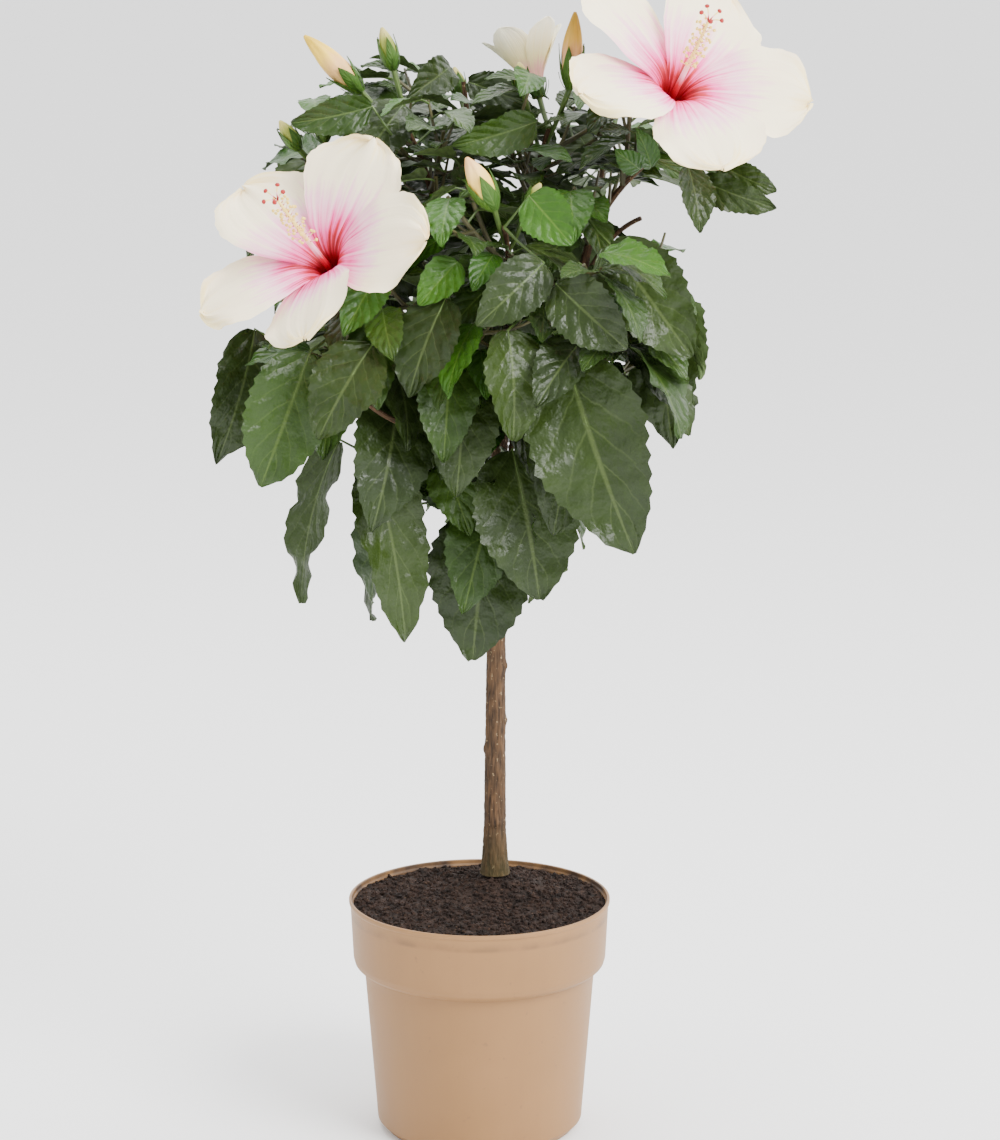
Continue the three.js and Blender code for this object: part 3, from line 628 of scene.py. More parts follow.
BUD_FORK = 0.7
PETALS = 5
PETAL_STEPS = 24
PETAL_SAMPLES = 15
# A mass springs from a bough, or from the trunk at a height and bearing.
MASSES = table(("from", "tip", "sides", "leaves", "longest", "shortest", "droop", "seed"), {
    "left": ("left", (-84, -45, 538), 3, 8, 96, 66, 0.9, 13),
    "front": ("front", (16, -86, 604), 4, 9, 84, 46, 0.8, 102),
    "front_right": ("front_right", (92, -66, 556), 3, 8, 112, 70, 0.95, 9),
    "right": ("right", (108, -10, 637), 2, 7, 84, 56, 0.8, 111),
    "top": ("top", (-10, 66, 678), 4, 8, 80, 46, 0.4, 94),
    "upper_left": ("upper_left", (-52, 0, 668), 4, 8, 84, 44, 0.45, 112),
    "crown": ("crown", (44, 10, 654), 4, 8, 84, 44, 0.45, 35),
    "front_left": ("front_left", (-34, -84, 548), 3, 8, 92, 52, 0.9, 123),
    "skirt_front": ((404, 285), (16, -44, 444), 1, 7, 118, 92, 1.1, 104),
    "skirt_left": ((398, 205), (-44, 8, 440), 1, 7, 112, 88, 1.1, 67),
    "skirt_right": ((400, 350), (52, 8, 444), 1, 5, 112, 88, 1.1, 1),
    "side_left": ("side_left", (-100, 6, 636), 3, 8, 94, 52, 0.75, 89),
    "side_right": ("side_right", (118, 52, 572), 2, 7, 94, 52, 0.8, 8),
    "back_left": ("back_left", (-72, 112, 620), 3, 7, 100, 52, 0.8, 97),
    "back_right": ("back_right", (84, 112, 640), 3, 7, 100, 52, 0.75, 115),
    "back": ("back", (8, 128, 566), 3, 7, 104, 56, 0.9, 110),
    "skirt_back": ((406, 80), (22, 88, 446), 1, 6, 112, 90, 1.05, 72),
})
FLOWERS = {
    "left": {
        "mass": "left", "throat": (-93, -76, 581), "faces": (-0.45, -0.6, 0.66), "turn": 10, "open": 1,
        "tube": 22, "petal": 75, "width": 40, "column": 0.78, "lift": (6, 0, 0, 2, -3),
    },
    "right": {
        "mass": "right", "throat": (121, -38, 682), "faces": (0.333, -0.57, 0.75), "turn": -27, "open": 1,
        "tube": 22, "petal": 77, "width": 42, "column": 0.7, "lift": (0, 0, 4, 6, 4),
    },
    "crown": {
        "mass": "crown", "throat": (34, 34, 687), "faces": (-0.25, 0.3, 0.92), "turn": 20, "open": 0.3,
        "tube": 16, "petal": 34, "width": 17, "lift": (0, 0, 0, 0, 0),
    },
}
BUDS = table(("mass", "base", "tip", "radius"), {
    "yellow": ("upper_left", (-73, -6, 679), (-108, -12, 714), 7.5),
    "pointed": ("upper_left", (-53, 2, 692), (-60, 0, 718), 5.6),
    "golden": ("crown", (57, 2, 680), (60, -2, 728), 7),
    "green": ("crown", (28, -4, 678), (25, -8, 697), 5.6),
    "cream": ("front", (10, -92, 616), (-7, -97, 648), 8),
    "small_front": ("front", (30, -84, 616), (38, -86, 631), 4.2),
    "small_left": ("side_left", (-112, -12, 644), (-123, -20, 662), 5),
    "tiny_left": ("side_left", (-96, -6, 648), (-98, -10, 664), 4.4),
    "small_back": ("back_right", (92, 118, 662), (98, 122, 680), 5),
    "tiny_back": ("back_left", (-78, 120, 640), (-84, 124, 657), 4.6),
    "small_top": ("top", (-12, 78, 668), (-16, 84, 686), 5),
})
for flower in FLOWERS.values():
    flower["throat"] = np.array(flower["throat"], dtype=float)
    flower["axis"] = unit(np.array(flower["faces"], dtype=float))
    flower["base"] = flower["throat"] - flower["axis"] * flower["tube"]
for bud in BUDS.values():
    bud["base"], bud["tip"] = np.array((bud["base"], bud["tip"]), dtype=float)


def chances(seed):
    """A steady stream of numbers from 0 to 1, the same each time."""
    state = (seed * 9301 + 49297) % 2 ** 32
    drawn = 0
    while True:
        state = (state * 1664525 + 1013904223) % 2 ** 32
        drawn += 1
        if drawn > 3:
            yield state / 2 ** 32


# What has grown so far, as groups of points with a radius. Anything new has to find room among them.
MOST_GROUPS = 12000
crowd_centre = np.zeros((MOST_GROUPS, 3))
crowd_reach = np.zeros(MOST_GROUPS)
crowd_points = []
crowd_owner = []
crowd_radius = []


def ball_around(points):
    """The middle of some points, and how far they reach from it."""
    centre = points.mean(axis=0)
    return centre, np.linalg.norm(points - centre, axis=1).max()


def occupy(points, radius, owner):
    """Takes up the space round some points."""
    number = len(crowd_points)
    crowd_centre[number], crowd_reach[number] = ball_around(points)
    crowd_reach[number] += radius
    crowd_points.append(points)
    crowd_owner.append(owner)
    crowd_radius.append(radius)


def has_room(points, clearance, owner=None):
    """True if the points keep clear of all that another has taken up."""
    centre, reach = ball_around(points)
    count = len(crowd_points)
    apart = np.linalg.norm(crowd_centre[:count] - centre, axis=1)
    for number in np.flatnonzero(apart <= crowd_reach[:count] + reach + clearance):
        if crowd_owner[number] == owner:
            continue
        gaps = crowd_points[number][:, None] - points[None]
        if (gaps ** 2).sum(axis=2).min() < (crowd_radius[number] + clearance) ** 2:
            return False
    return True


def level_pair(axis):
    """Two unit directions across an axis, the first of them level."""
    right = unit(np.cross((0, 0, 1), axis))
    return right, np.cross(axis, right)


def petal_points(flower, number, u, v, ruffle=0.0):
    """Points of one petal: u from the foot of its tube to its rim, one value, and v across it, -1 to 1."""
    v = np.atleast_1d(v).astype(float)
    axis, openness = flower["axis"], flower["open"]
    right, up = level_pair(axis)
    turn = math.radians(flower["turn"] + 360 / PETALS * number)
    radial = right * math.cos(turn) + up * math.sin(turn)
    across = np.cross(axis, radial)
    step = (flower["petal"] + flower["tube"]) / PETAL_STEPS
    out, forward, lean, i = 2.4, -flower["tube"], 0.0, 0
    while i < PETAL_STEPS * u:
        s = (i + 0.5) / PETAL_STEPS
        part = step * min(1, PETAL_STEPS * u - i)
        x = min(max((s - 0.12) / 0.3, 0), 1)
        flare = x * x * (3 - 2 * x)
        reflex = 20 * openness * max(0, (s - 0.55) / 0.45)
        lean = math.radians(mix(14, mix(16, 70, openness), flare) + flower["lift"][number] * flare + reflex)
        out += math.sin(lean) * part
        forward += math.cos(lean) * part
        i += 1
    end = math.sqrt(max(0, 1 - max(0, (u - 0.56) / 0.44) ** 2.6))
    side = flower["width"] * math.tanh(1.02 * out / flower["width"]) * end * v
    tilt = math.radians(13 * openness) * min(1, u * 1.6)
    wrap = 0.95 * (1 - openness)
    curl = (wrap * side / max(7, out))[:, None]
    outward = radial * np.cos(curl) + across * np.sin(curl)
    sideways = across * np.cos(curl) - radial * np.sin(curl)
    normal = axis * math.sin(lean) - outward * math.cos(lean)
    cup = 0.1 * openness * side * v * (1 - 0.6 * u)
    wave = 3 * u * u * openness * np.sin(4.5 * v + 1.9 * number) * v * v
    rise = side * math.sin(tilt) + cup + wave + ruffle
    flat = (side * (1 - wrap) * math.cos(tilt))[:, None]
    return flower["throat"] + axis * forward + outward * out + sideways * flat + normal * rise[:, None]


def blade_width(u, blunt):
    """A blade's half width along it, as a share of its widest: pointed, or broad to near its end."""
    pointed = 2.545 * np.sqrt(u) * (1 - u) ** 0.95
    return mix(pointed, np.sin(np.pi * u ** 0.8) ** 0.7, blunt)


def blade_points(leaf, u, v, lift=0.0, grow=1.0):
    """Points of a blade, which curls down over its length, folds up along its midrib and has a wavy edge."""
    angle = leaf["curl"] * u
    side = leaf["half_width"] * blade_width(u, leaf.get("blunt", 0)) * np.abs(v) * grow
    wave = np.sin(leaf["waves"] * 2 * np.pi * u + leaf["phase"] + np.where(v < 0, 0, 2.1))
    ripple = 0.022 * leaf["length"] * wave * v * v * np.minimum(1, u * 6)
    rise = side * math.sin(leaf["fold"]) + ripple + lift
    along = leaf["length"] * np.sin(angle) / leaf["curl"] + rise * np.sin(angle)
    over = rise * np.cos(angle) - leaf["length"] * (1 - np.cos(angle)) / leaf["curl"]
    aside = side * math.cos(leaf["fold"]) * np.sign(v)
    return (
        leaf["base"] + along[:, None] * leaf["heading"] + over[:, None] * leaf["normal"]
        + aside[:, None] * leaf["side"]
    )


SAMPLE_U, SAMPLE_V = np.array([
    (min(1, 0.06 + 0.94 * row / 9), v)
    for row in range(10) for v in ((0,) if row in (0, 9) else (-1, -0.6, -0.3, 0, 0.3, 0.6, 1))
]).T
SAMPLE_ON_STALK = np.array((0.25, 0.5, 0.75, 0.95))
DENSE_BLADE = [spread.ravel() for spread in np.meshgrid(np.linspace(0.03, 1, 22), np.linspace(-1, 1, 9))]

# Seen from its front, the crown is open to the sky in these places: left, top, right and bottom, in the
# pixels of the camera's image, which is 1000 wide and 1140 high.
IMAGE_CENTRE = (500, 570)
OPEN_SKY = [
    (0, 0, 262, 190), (262, 90, 292, 122), (440, 0, 500, 70), (712, 215, 1000, 1140), (690, 235, 712, 290),
    (622, 190, 688, 232), (150, 190, 236, 330), (636, 400, 652, 640), (662, 452, 1000, 1140),
    (592, 562, 1000, 1140), (586, 500, 620, 1140), (522, 606, 1000, 1140), (404, 515, 444, 1140),
    (334, 470, 352, 1140), (0, 470, 236, 1140), (0, 500, 286, 1140), (0, 615, 350, 1140),
]


def in_image(points):
    """Where points show in the camera's image."""
    away = points - np.array(CAMERA_PLACE)
    pitch = math.radians(CAMERA_PITCH)
    depth = away[:, 1] * math.cos(pitch) - away[:, 2] * math.sin(pitch)
    up = away[:, 1] * math.sin(pitch) + away[:, 2] * math.cos(pitch)
    return IMAGE_CENTRE[0] + FOCAL_LENGTH * away[:, 0] / depth, IMAGE_CENTRE[1] - FOCAL_LENGTH * up / depth


def shows_in_sky(points):
    """True if any of the points shows where the crown is open."""
    across, down = in_image(points)
    return any(
        ((across > left) & (across < right) & (down > top) & (down < bottom)).any()
        for left, top, right, bottom in OPEN_SKY
    )


def outward_from(point):
    """The level way out from the middle of the crown."""
    away = np.array((point[0] - TRUNK["top"][0], point[1] - TRUNK["top"][1], 0.0))
    return unit(away)


def bend(foot, middle, end):
    """The three control points of a curve."""
    return np.array([foot, middle, end], dtype=float)


def bud_stalk(bud, main):
    """A bud's stalk leaves the main shoot of its mass below its end."""
    start = curve_at(main, BUD_FORK)[0]
    return bend(start, mix(start, bud["base"], 0.5) + (0, 0, -3), bud["base"])


def claim_limbs_and_flowers():
    """Takes up the space of the trunk, boughs, flowers and buds before any leaf grows."""
    for point in curve_at(TRUNK_CURVE, np.linspace(0.4, 1, 81)):
        occupy(point[None], TAKEN["trunk"], "limb")
    for name, curve in BOUGH_CURVES.items():
        for i in range(6):
            occupy(curve_at(curve, np.linspace(i / 6, (i + 1) / 6, 5)), BOUGHS[name]["radius"], "limb")
    for flower in FLOWERS.values():
        for number in range(PETALS):
            ways = np.linspace(0.08, 0.99, PETAL_SAMPLES)
            rows = [petal_points(flower, number, way, np.linspace(-1, 1, PETAL_SAMPLES)) for way in ways]
            occupy(np.concatenate(rows), TAKEN["petal"], "flower")
        base, throat = flower["base"], flower["throat"]
        column_end = throat + flower["axis"] * flower["petal"] * 0.9
        occupy(np.linspace(base, throat, 4), TAKEN["tube"], "flower")
        occupy(np.linspace(MASSES[flower["mass"]]["tip"], base, 6), TAKEN["flower_stalk"], "flower")
        occupy(np.linspace(throat, column_end, 9), TAKEN["column"], "flower")
    for bud in BUDS.values():
        occupy(np.linspace(bud["base"], bud["tip"], 6), bud["radius"] * 0.8, "bud")


def shoot_of(curve, radii, leaves=0, main=False):
    """A shoot along a curve, with its radius at each end and the number of its leaves."""
    return {"curve": curve, "radii": radii, "leaves": leaves, "main": main}


def side_shoot(stem, t, stream, lengths, outward, onward):
    """The curve of a shoot that leaves a stem sideways, leans outwards and onwards, and rises at its end."""
    at, tangent = curve_at(stem, t)[0], heading_at(stem, t)[0]
    aside = bearing_vector(next(stream) * 360)
    aside = unit(aside - tangent * (aside @ tangent))
    length = mix(*lengths, next(stream))
    way = unit(aside * 0.9 + outward_from(at) * outward + tangent * onward)
    return bend(at, at + way * length * SHOOT_BEND, at + way * length + (0, 0, length * SHOOT_RISE))


def sprout_shoots(name):
    """The main shoot of a mass, and the side shoots that branch off it."""
    form = MASSES[name]
    stream = chances(form["seed"])
    tip = np.array(form["tip"], dtype=float)
    if form["from"] in BOUGHS:
        heading = heading_at(BOUGH_CURVES[form["from"]], 1)[0]
        foot = BOUGH_CURVES[form["from"]][2] + heading * 0.3
        radius = BOUGHS[form["from"]]["radius"] * TIP_TAPER
    else:
        height, bearing = form["from"]
        out = bearing_vector(bearing)
        foot = trunk_point(height) + out * trunk_radius(height) / 2
        heading = unit(out + (0, 0, 0.5))
        radius = 2.6
    span = np.linalg.norm(tip - foot)
    main = bend(foot, foot + heading * span * 0.5, tip)
    shoots = [shoot_of(main, (radius, MAIN_TIP_RADIUS), form["leaves"], main=True)]
    for bud in BUDS.values():
        if bud["mass"] == name:
            occupy(curve_at(bud_stalk(bud, main), np.linspace(0.2, 1, 5)), TAKEN["bud_stalk"], "bud")
    for i in range(form["sides"]):
        t = mix(0.18, 0.72, 0.4 if form["sides"] == 1 else i / (form["sides"] - 1))
        curve = side_shoot(main, t, stream, SHOOT_LENGTH, 0.5, 0.4)
        ahead = curve_at(curve, np.array((0.3, 0.45, 0.6, 0.75, 0.9, 1)))
        if has_room(ahead, 6, name) and not shows_in_sky(ahead):
            shoots.append(shoot_of(curve, SHOOT_RADII, SIDE_LEAVES))
    for shoot in shoots:
        for i in range(3):
            taken = curve_at(shoot["curve"], np.linspace(i / 3, (i + 1) / 3, 5))
            occupy(taken, TAKEN["shoot"], "stem" if shoot["main"] else name)
    return {
        "name": name, "form": form, "stream": stream, "main": main, "shoots": shoots,
        "middle": curve_at(main, 0.5)[0], "space": span / 2 + form["longest"] * 1.02,
    }


def turned_about(vector, axis, angle):
    """A vector turned about a unit axis."""
    return (
        vector * math.cos(angle) + np.cross(axis, vector) * math.sin(angle)
        + axis * (axis @ vector) * (1 - math.cos(angle))
    )


def shape_leaf(form, at, axis, age, bearing, chance, attempt):
    """One try at a leaf: the blade turns outwards from its stalk, and droops with age."""
    radial = bearing_vector(bearing)
    radial = unit(radial - axis * (radial @ axis))
    way = radial + outward_from(at) * 0.6
    way = unit(way * (1, 1, 0))
    length = mix(form["longest"], form["shortest"], 1 - age) * mix(0.84, 1.08, chance[3])
    stalk = length * mix(*STALK_SHARE, age)
    drop = min(1, form["droop"] * mix(0.5, 1.05, age))
    rising = unit(radial * 0.8 + way * 0.3 + (0, 0, mix(0.6, 0.05, age)))
    pitch = math.radians(mix(*LEAF_PITCH, drop) + chance[1] * 34 - attempt * 2)
    heading = way * math.cos(pitch) + (0, 0, math.sin(pitch))
    side = np.array((way[1], -way[0], 0))
    roll = math.radians(chance[2] * LEAF_ROLL)
    return {
        "foot": at, "base": at + rising * stalk, "heading": heading, "length": length,
        "half_width": length * LEAF_SLIM, "age": age, "side": turned_about(side, heading, roll),
        "normal": turned_about(np.cross(side, heading), heading, roll),
        "curl": math.radians(mix(*LEAF_CURL, drop)), "fold": math.radians(15 + 10 * chance[0]),
        "waves": 1.7 + chance[1], "phase": chance[2] * 12,
    }


def grow_leaves(mass, shoots, stream, form, clearance, attempts):
    """Tries a leaf at each turn along each shoot, and keeps those that find room."""
    grown = []
    for shoot in shoots:
        first = next(stream) * 360
        for i in range(shoot["leaves"]):
            t = mix(0.12, 0.94, i / (shoot["leaves"] - 1))
            at, axis = curve_at(shoot["curve"], t)[0], heading_at(shoot["curve"], t)[0]
            age = 1 - t if shoot["main"] else mix(0.65, 0, t)
            for attempt in range(attempts):
                chance = [next(stream) - 0.5, next(stream) - 0.5, next(stream) - 0.5, next(stream)]
                swing = (-1 if attempt % 2 else 1) * math.ceil(attempt / 2) * SWING
                bearing = first + GOLDEN_ANGLE * i + swing + chance[0] * 20
                leaf = shape_leaf(form, at, axis, age, bearing, chance, attempt)
                blade = blade_points(leaf, SAMPLE_U, SAMPLE_V)
                stalk = at + (leaf["base"] - at) * SAMPLE_ON_STALK[:, None]
                if blade[:, 2].min() < CROWN_FOOT or shows_in_sky(blade):
                    continue
                if np.linalg.norm(blade - mass["middle"], axis=1).max() > mass["space"]:
                    continue
                if not has_room(blade, clearance) or not has_room(stalk, STALK_CLEARANCE, mass["name"]):
                    continue
                occupy(blade, 0, "leaf")
                occupy(stalk, 1, "stalk")
                grown.append(leaf)
                break
    return grown


# The largest leaves on the front of the crown have their own places: where the blade starts and ends, its
# width, and how far it turns from facing the front. Each hangs from the nearest shoot of its mass.
LARGE_LEAVES = table(("mass", "base", "tip", "width", "turn", "blunt", "age"), {
    "far_left": ("left", (-139, -34, 534), (-164, -46, 450), 44, -28, 0.2),
    "left_low": ("left", (-103, -74, 526), (-134, -84, 443), 58, -8, 0.5, 0.35),
    "left_hanging": ("skirt_left", (-87, -34, 464), (-111, -44, 360), 40, 48),
    "dark": ("skirt_left", (-69, -46, 466), (-46, -52, 337), 47, -20, 0.7),
    "inner_left": ("front_left", (-38, -16, 462), (-11, -20, 413), 38, 20, 0.5, 0.35),
    "bottom": ("skirt_front", (9, -22, 422), (-4, -34, 321), 68, 8, 0.7),
    "centre_low": ("skirt_front", (21, -50, 461), (38, -68, 368), 70, -8),
    "right_low": ("front_right", (54, -82, 523), (96, -100, 404), 80, 14, 0.15),
    "right_edge": ("right", (112, -16, 560), (122, -28, 456), 50, 12, 0.1),
    "right_top": ("right", (80, -62, 591), (131, -80, 523), 54, 6),
    "centre": ("front", (18, -98, 543), (21, -112, 477), 46, -24),
    "centre_left": ("front_left", (-19, -92, 562), (-42, -108, 503), 42, 18),
    "front_pale": ("front", (40, -104, 585), (-1, -122, 549), 36, -10),
    "front_right": ("front", (47, -102, 572), (90, -116, 534), 42, 14),
    "left_middle": ("front_left", (-64, -96, 534), (-97, -112, 478), 46, 10),
    "edge_long": ("right", (138, -8, 624), (186, -16, 607), 24, 30),
    "edge_drop": ("right", (130, -16, 633), (137, -30, 593), 26, -24),
    "edge_short": ("right", (149, 4, 633), (187, 0, 616), 22, 30),
    "top_left": ("upper_left", (-65, -34, 672), (-115, -46, 663), 26, -30, 0.5, 0.3),
    "top_back": ("upper_left", (-18, 40, 690), (-45, 2, 673), 26, -20),
    "top_back_right": ("crown", (-7, 34, 681), (34, 4, 668), 22, 10),
    "top_dark": ("upper_left", (-47, -8, 670), (-77, -50, 630), 34, 0),
    "top_middle": ("crown", (36, -26, 662), (-17, -46, 649), 28, -30, 0.5, 0.3),
    "front_young": ("front", (31, -92, 624), (57, -108, 596), 32, 10, 0.5, 0.1),
    "left_young": ("front_left", (-12, -84, 583), (-36, -98, 558), 26, 0, 0.5, 0.1),
    "under_right": ("right", (107, -14, 632), (97, -26, 658), 17, 20, 0.5, 0.1),
    "by_right": ("right", (100, -22, 632), (84, -36, 646), 16, -20, 0.5, 0.1),
})
LARGE_LEAF = {"curl": 34, "blunt": 0.5, "age": 0.9}


def large_leaf(place, number, shoots):
    """A leaf from where its blade starts and ends. It faces the front, turned by some degrees."""
    foot, tip = np.array((place["base"], place["tip"]), dtype=float)
    chord = tip - foot
    curl = math.radians(place["curl"])
    length = np.linalg.norm(chord) * curl / (2 * math.sin(curl / 2))
    chord = unit(chord)
    facing = turned_about(np.array((0.0, -1.0, 0.35)), chord, math.radians(place["turn"]))
    facing = unit(facing - chord * (facing @ chord))
    heading = chord * math.cos(curl / 2) + facing * math.sin(curl / 2)
    normal = facing * math.cos(curl / 2) - chord * math.sin(curl / 2)
    stems = np.concatenate([curve_at(shoot["curve"], np.linspace(0.25, 1, 12)) for shoot in shoots])
    return {
        "foot": stems[np.linalg.norm(stems - foot, axis=1).argmin()], "base": foot, "heading": heading,
        "length": length, "half_width": place["width"] / 2, "age": place["age"], "blunt": place["blunt"],
        "side": np.cross(heading, normal), "normal": normal, "curl": curl,
        "fold": math.radians(16 + 5 * math.sin(number * 2.1)), "waves": 1.9 + 0.5 * math.sin(number),
        "phase": 1.7 * number,
    }


claim_limbs_and_flowers()
masses = [sprout_shoots(name) for name in MASSES]
leaves = []
for number, place in enumerate(LARGE_LEAVES.values()):
    shoots = next(mass["shoots"] for mass in masses if mass["name"] == place["mass"])
    leaf = large_leaf({**LARGE_LEAF, **place}, number, shoots)
    occupy(blade_points(leaf, *DENSE_BLADE), 0, "leaf")
    occupy(mix(leaf["foot"], leaf["base"], SAMPLE_ON_STALK[:, None]), 1, "stalk")
    leaves.append(leaf)
for mass in masses:
    leaves += grow_leaves(mass, mass["shoots"], mass["stream"], mass["form"], LEAF_CLEARANCE, ATTEMPTS)
for leaf in leaves[len(LARGE_LEAVES):]:
    occupy(blade_points(leaf, *DENSE_BLADE), 0, "leaf")


# Finer twigs with smaller leaves branch off the shoots and the outer boughs, smaller leaves come in between
# the old ones, and every shoot ends in a tuft of new leaves. They need less room than the first leaves did.
FINER_SEED = 500
TWIG_LENGTH = (15, 34)
TWIG_RADII = (1.3, 0.8)
FINER = table(("clearance", "longest", "shortest", "droop", "attempts"), {
    "twigs": (2.8, 0.66, 0.42, 0.85, 8),
    "infill": (3, 0.8, 0.62, 1.0, 8),
    "tufts": (2, 0.38, 0.17, 0.2, 5),
})
INFILL_LEAVES = 7
TUFT_LEAVES = 6
TUFT_START = 0.86


def finer_form(form, share):
    """The leaf lengths and droop of finer growth, as shares of its mass's own."""
    return {
        "longest": form["longest"] * share["longest"], "shortest": form["longest"] * share["shortest"],
        "droop": form["droop"] * share["droop"],
    }


def finer_twigs(mass, stream):
    """Short twigs off the shoots of a mass, and off the outer half of its bough."""
    stems = [(shoot["curve"], 0.22, 0.92, 5 if shoot["main"] else 3) for shoot in mass["shoots"]]
    if mass["form"]["from"] in BOUGHS:
        stems.append((BOUGH_CURVES[mass["form"]["from"]], 0.45, 0.95, 4))
    twigs = []
    for stem, start, finish, count in stems:
        for i in range(count):
            t = mix(start, finish, (i + next(stream)) / count)
            curve = side_shoot(stem, t, stream, TWIG_LENGTH, 0.45, 0.45)
            ahead = curve_at(curve, np.array((0.45, 0.6, 0.75, 0.9, 1)))
            if has_room(ahead, 3, mass["name"]) and not shows_in_sky(ahead):
                twigs.append(shoot_of(curve, TWIG_RADII, SIDE_LEAVES))
                occupy(curve_at(curve, np.linspace(0.3, 1, 5)), 1.0, mass["name"])
    return twigs


for mass in masses:
    stream = chances(mass["form"]["seed"] + FINER_SEED)
    mass["twigs"] = finer_twigs(mass, stream)
    growth = {
        "infill": [
            {**shoot, "leaves": INFILL_LEAVES if shoot["main"] else SIDE_LEAVES} for shoot in mass["shoots"]
        ],
        "twigs": mass["twigs"],
        "tufts": [
            {**shoot, "curve": curve_at(shoot["curve"], np.linspace(TUFT_START, 1, 3)), "leaves": TUFT_LEAVES}
            for shoot in mass["shoots"] + mass["twigs"]
        ],
    }
    for kind, shoots in growth.items():
        share = FINER[kind]
        form = finer_form(mass["form"], share)
        found = grow_leaves(mass, shoots, stream, form, share["clearance"], share["attempts"])
        leaves += [{**leaf, "kind": kind} for leaf in found]


# ---------------------------------------------------------------- leaves
# Hibiscus leaves are thin, egg-shaped and pointed, coarsely toothed beyond their lowest third, glossy green
# above with paler veins sunk in a quilted face, and paler and duller below. New ones are bright yellow-green.
LEAF_THICKNESS = 0.42
TOOTH_DEPTH = 0.11
LEAF_ROWS = 24
SMALL_LEAF_ROWS = 12
SMALL_LEAF = 42
YOUNG_AGE = 0.14
MIDDLE_AGE = 0.42
VEIN_PAIRS = 5.5


def sheet_part(grid, thickness, uv, tone, underside=0):
    """A thin closed sheet from a grid of points. Its faces meet at both edges and their quads split alike."""
    rows, columns = grid.shape[0] - 1, grid.shape[1] - 1
    along, over = np.gradient(grid, axis=0), np.gradient(grid, axis=1)
    normal = np.cross(over, along)
    normal /= np.maximum(np.linalg.norm(normal, axis=2, keepdims=True), 1e-9)
    half = normal * thickness / 2
    top = grid + half
    top[:, [0, -1]] = grid[:, [0, -1]]
    bottom = (grid - half)[:, columns - 1:0:-1]
    ring = 2 * columns
    points = np.concatenate([top, bottom], axis=1).reshape(-1, 3)
    spots = np.concatenate([uv, uv[:, columns - 1:0:-1]], axis=1).reshape(-1, 2)
    faces, finish = [], []
    for row in range(rows):
        for k in range(ring):
            a, b = row * ring + k, row * ring + (k + 1) % ring
            faces.append((a, b, b + ring, a + ring) if k < columns else (b, b + ring, a + ring, a))
            finish.append(0 if k < columns else underside)
    for first, step in ((0, -1), (rows * ring, 1)):
        for column in range(columns):
            corners = [first + column, first + column + 1]
            corners += [first + (ring - column - 1) % ring] if column + 1 < columns else []
            corners += [first + ring - column] if column else []
            faces.append(tuple(corners[::step]))
            finish.append(0)
    return {"points": points, "faces": faces, "uv": spots, "finish": finish, "tone": tone}


def leaf_part(leaf):
    """A blade with teeth that point forwards."""
    rows = SMALL_LEAF_ROWS if leaf["length"] < SMALL_LEAF else LEAF_ROWS
    u = np.linspace(0.012, 0.99, rows + 1)
    v = np.array((-1, -0.5, 0, 0.5, 1))
    toothed = np.clip((u - 0.12) / 0.12, 0, 1) * np.clip((0.985 - u) / 0.08, 0, 1)
    odd = np.arange(rows + 1) % 2
    grid, uv = np.zeros((rows + 1, len(v), 3)), np.zeros((rows + 1, len(v), 2))
    for column, across in enumerate(v):
        edge = abs(across) == 1
        way = u + (0.3 * odd * toothed / rows if edge else 0)
        uneven = 0.75 + 0.45 * np.sin(2.7 * np.arange(rows + 1) + 8 * leaf["phase"] + column)
        grow = 1 + (TOOTH_DEPTH * (odd - 0.5) * toothed * uneven if edge else 0)
        frill = across ** 2 * np.sin(33 * way + leaf["phase"] * 3)
        finer = 0.6 * across * np.sin(19 * way + 5 * across + leaf["phase"])
        frill = 0.015 * leaf["length"] * (frill + finer)
        grid[:, column] = blade_points(leaf, way, np.full(rows + 1, across), frill, grow)
        uv[:, column] = np.stack([np.full(rows + 1, across / 2 + 0.5), way], axis=1)
    return sheet_part(grid, LEAF_THICKNESS, uv, (leaf["phase"] / 12 + 0.5) % 1, underside=1)


def ring_faces(rings, sides):
    """The faces between the rings of a closed tube, and a cap at each end."""
    faces = []
    for start in range(0, (rings - 1) * sides, sides):
        for k in range(sides):
            a, b = start + k, start + (k + 1) % sides
            faces.append((a, b, b + sides, a + sides))
    last = (rings - 1) * sides
    return faces + [tuple(range(sides - 1, -1, -1)), tuple(range(last, last + sides))]


def tube_part(points, radii, sides):
    """A closed round tube through some points, with uv round and along it, and its grain."""
    across, other = across_them(unit(np.gradient(points, axis=0)))
    angle = np.arange(sides) * math.tau / sides
    round_it = np.stack([np.cos(angle), np.sin(angle)])
    spokes = across[:, None] * round_it[0][:, None] + other[:, None] * round_it[1][:, None]
    rings = points[:, None] + spokes * np.asarray(radii)[:, None, None]
    length = np.concatenate([[0], np.cumsum(np.linalg.norm(np.diff(points, axis=0), axis=1))])
    grain = np.zeros_like(rings)
    grain[..., :2] = round_it.T * np.asarray(radii)[:, None, None]
    grain[..., 2] = length[:, None]
    uv = np.zeros((*rings.shape[:2], 2))
    uv[..., 0] = angle / math.tau
    uv[..., 1] = (length / length[-1])[:, None]
    return {
        "points": rings.reshape(-1, 3), "faces": ring_faces(len(points), sides), "uv": uv.reshape(-1, 2),
        "grain": grain.reshape(-1, 3),
    }


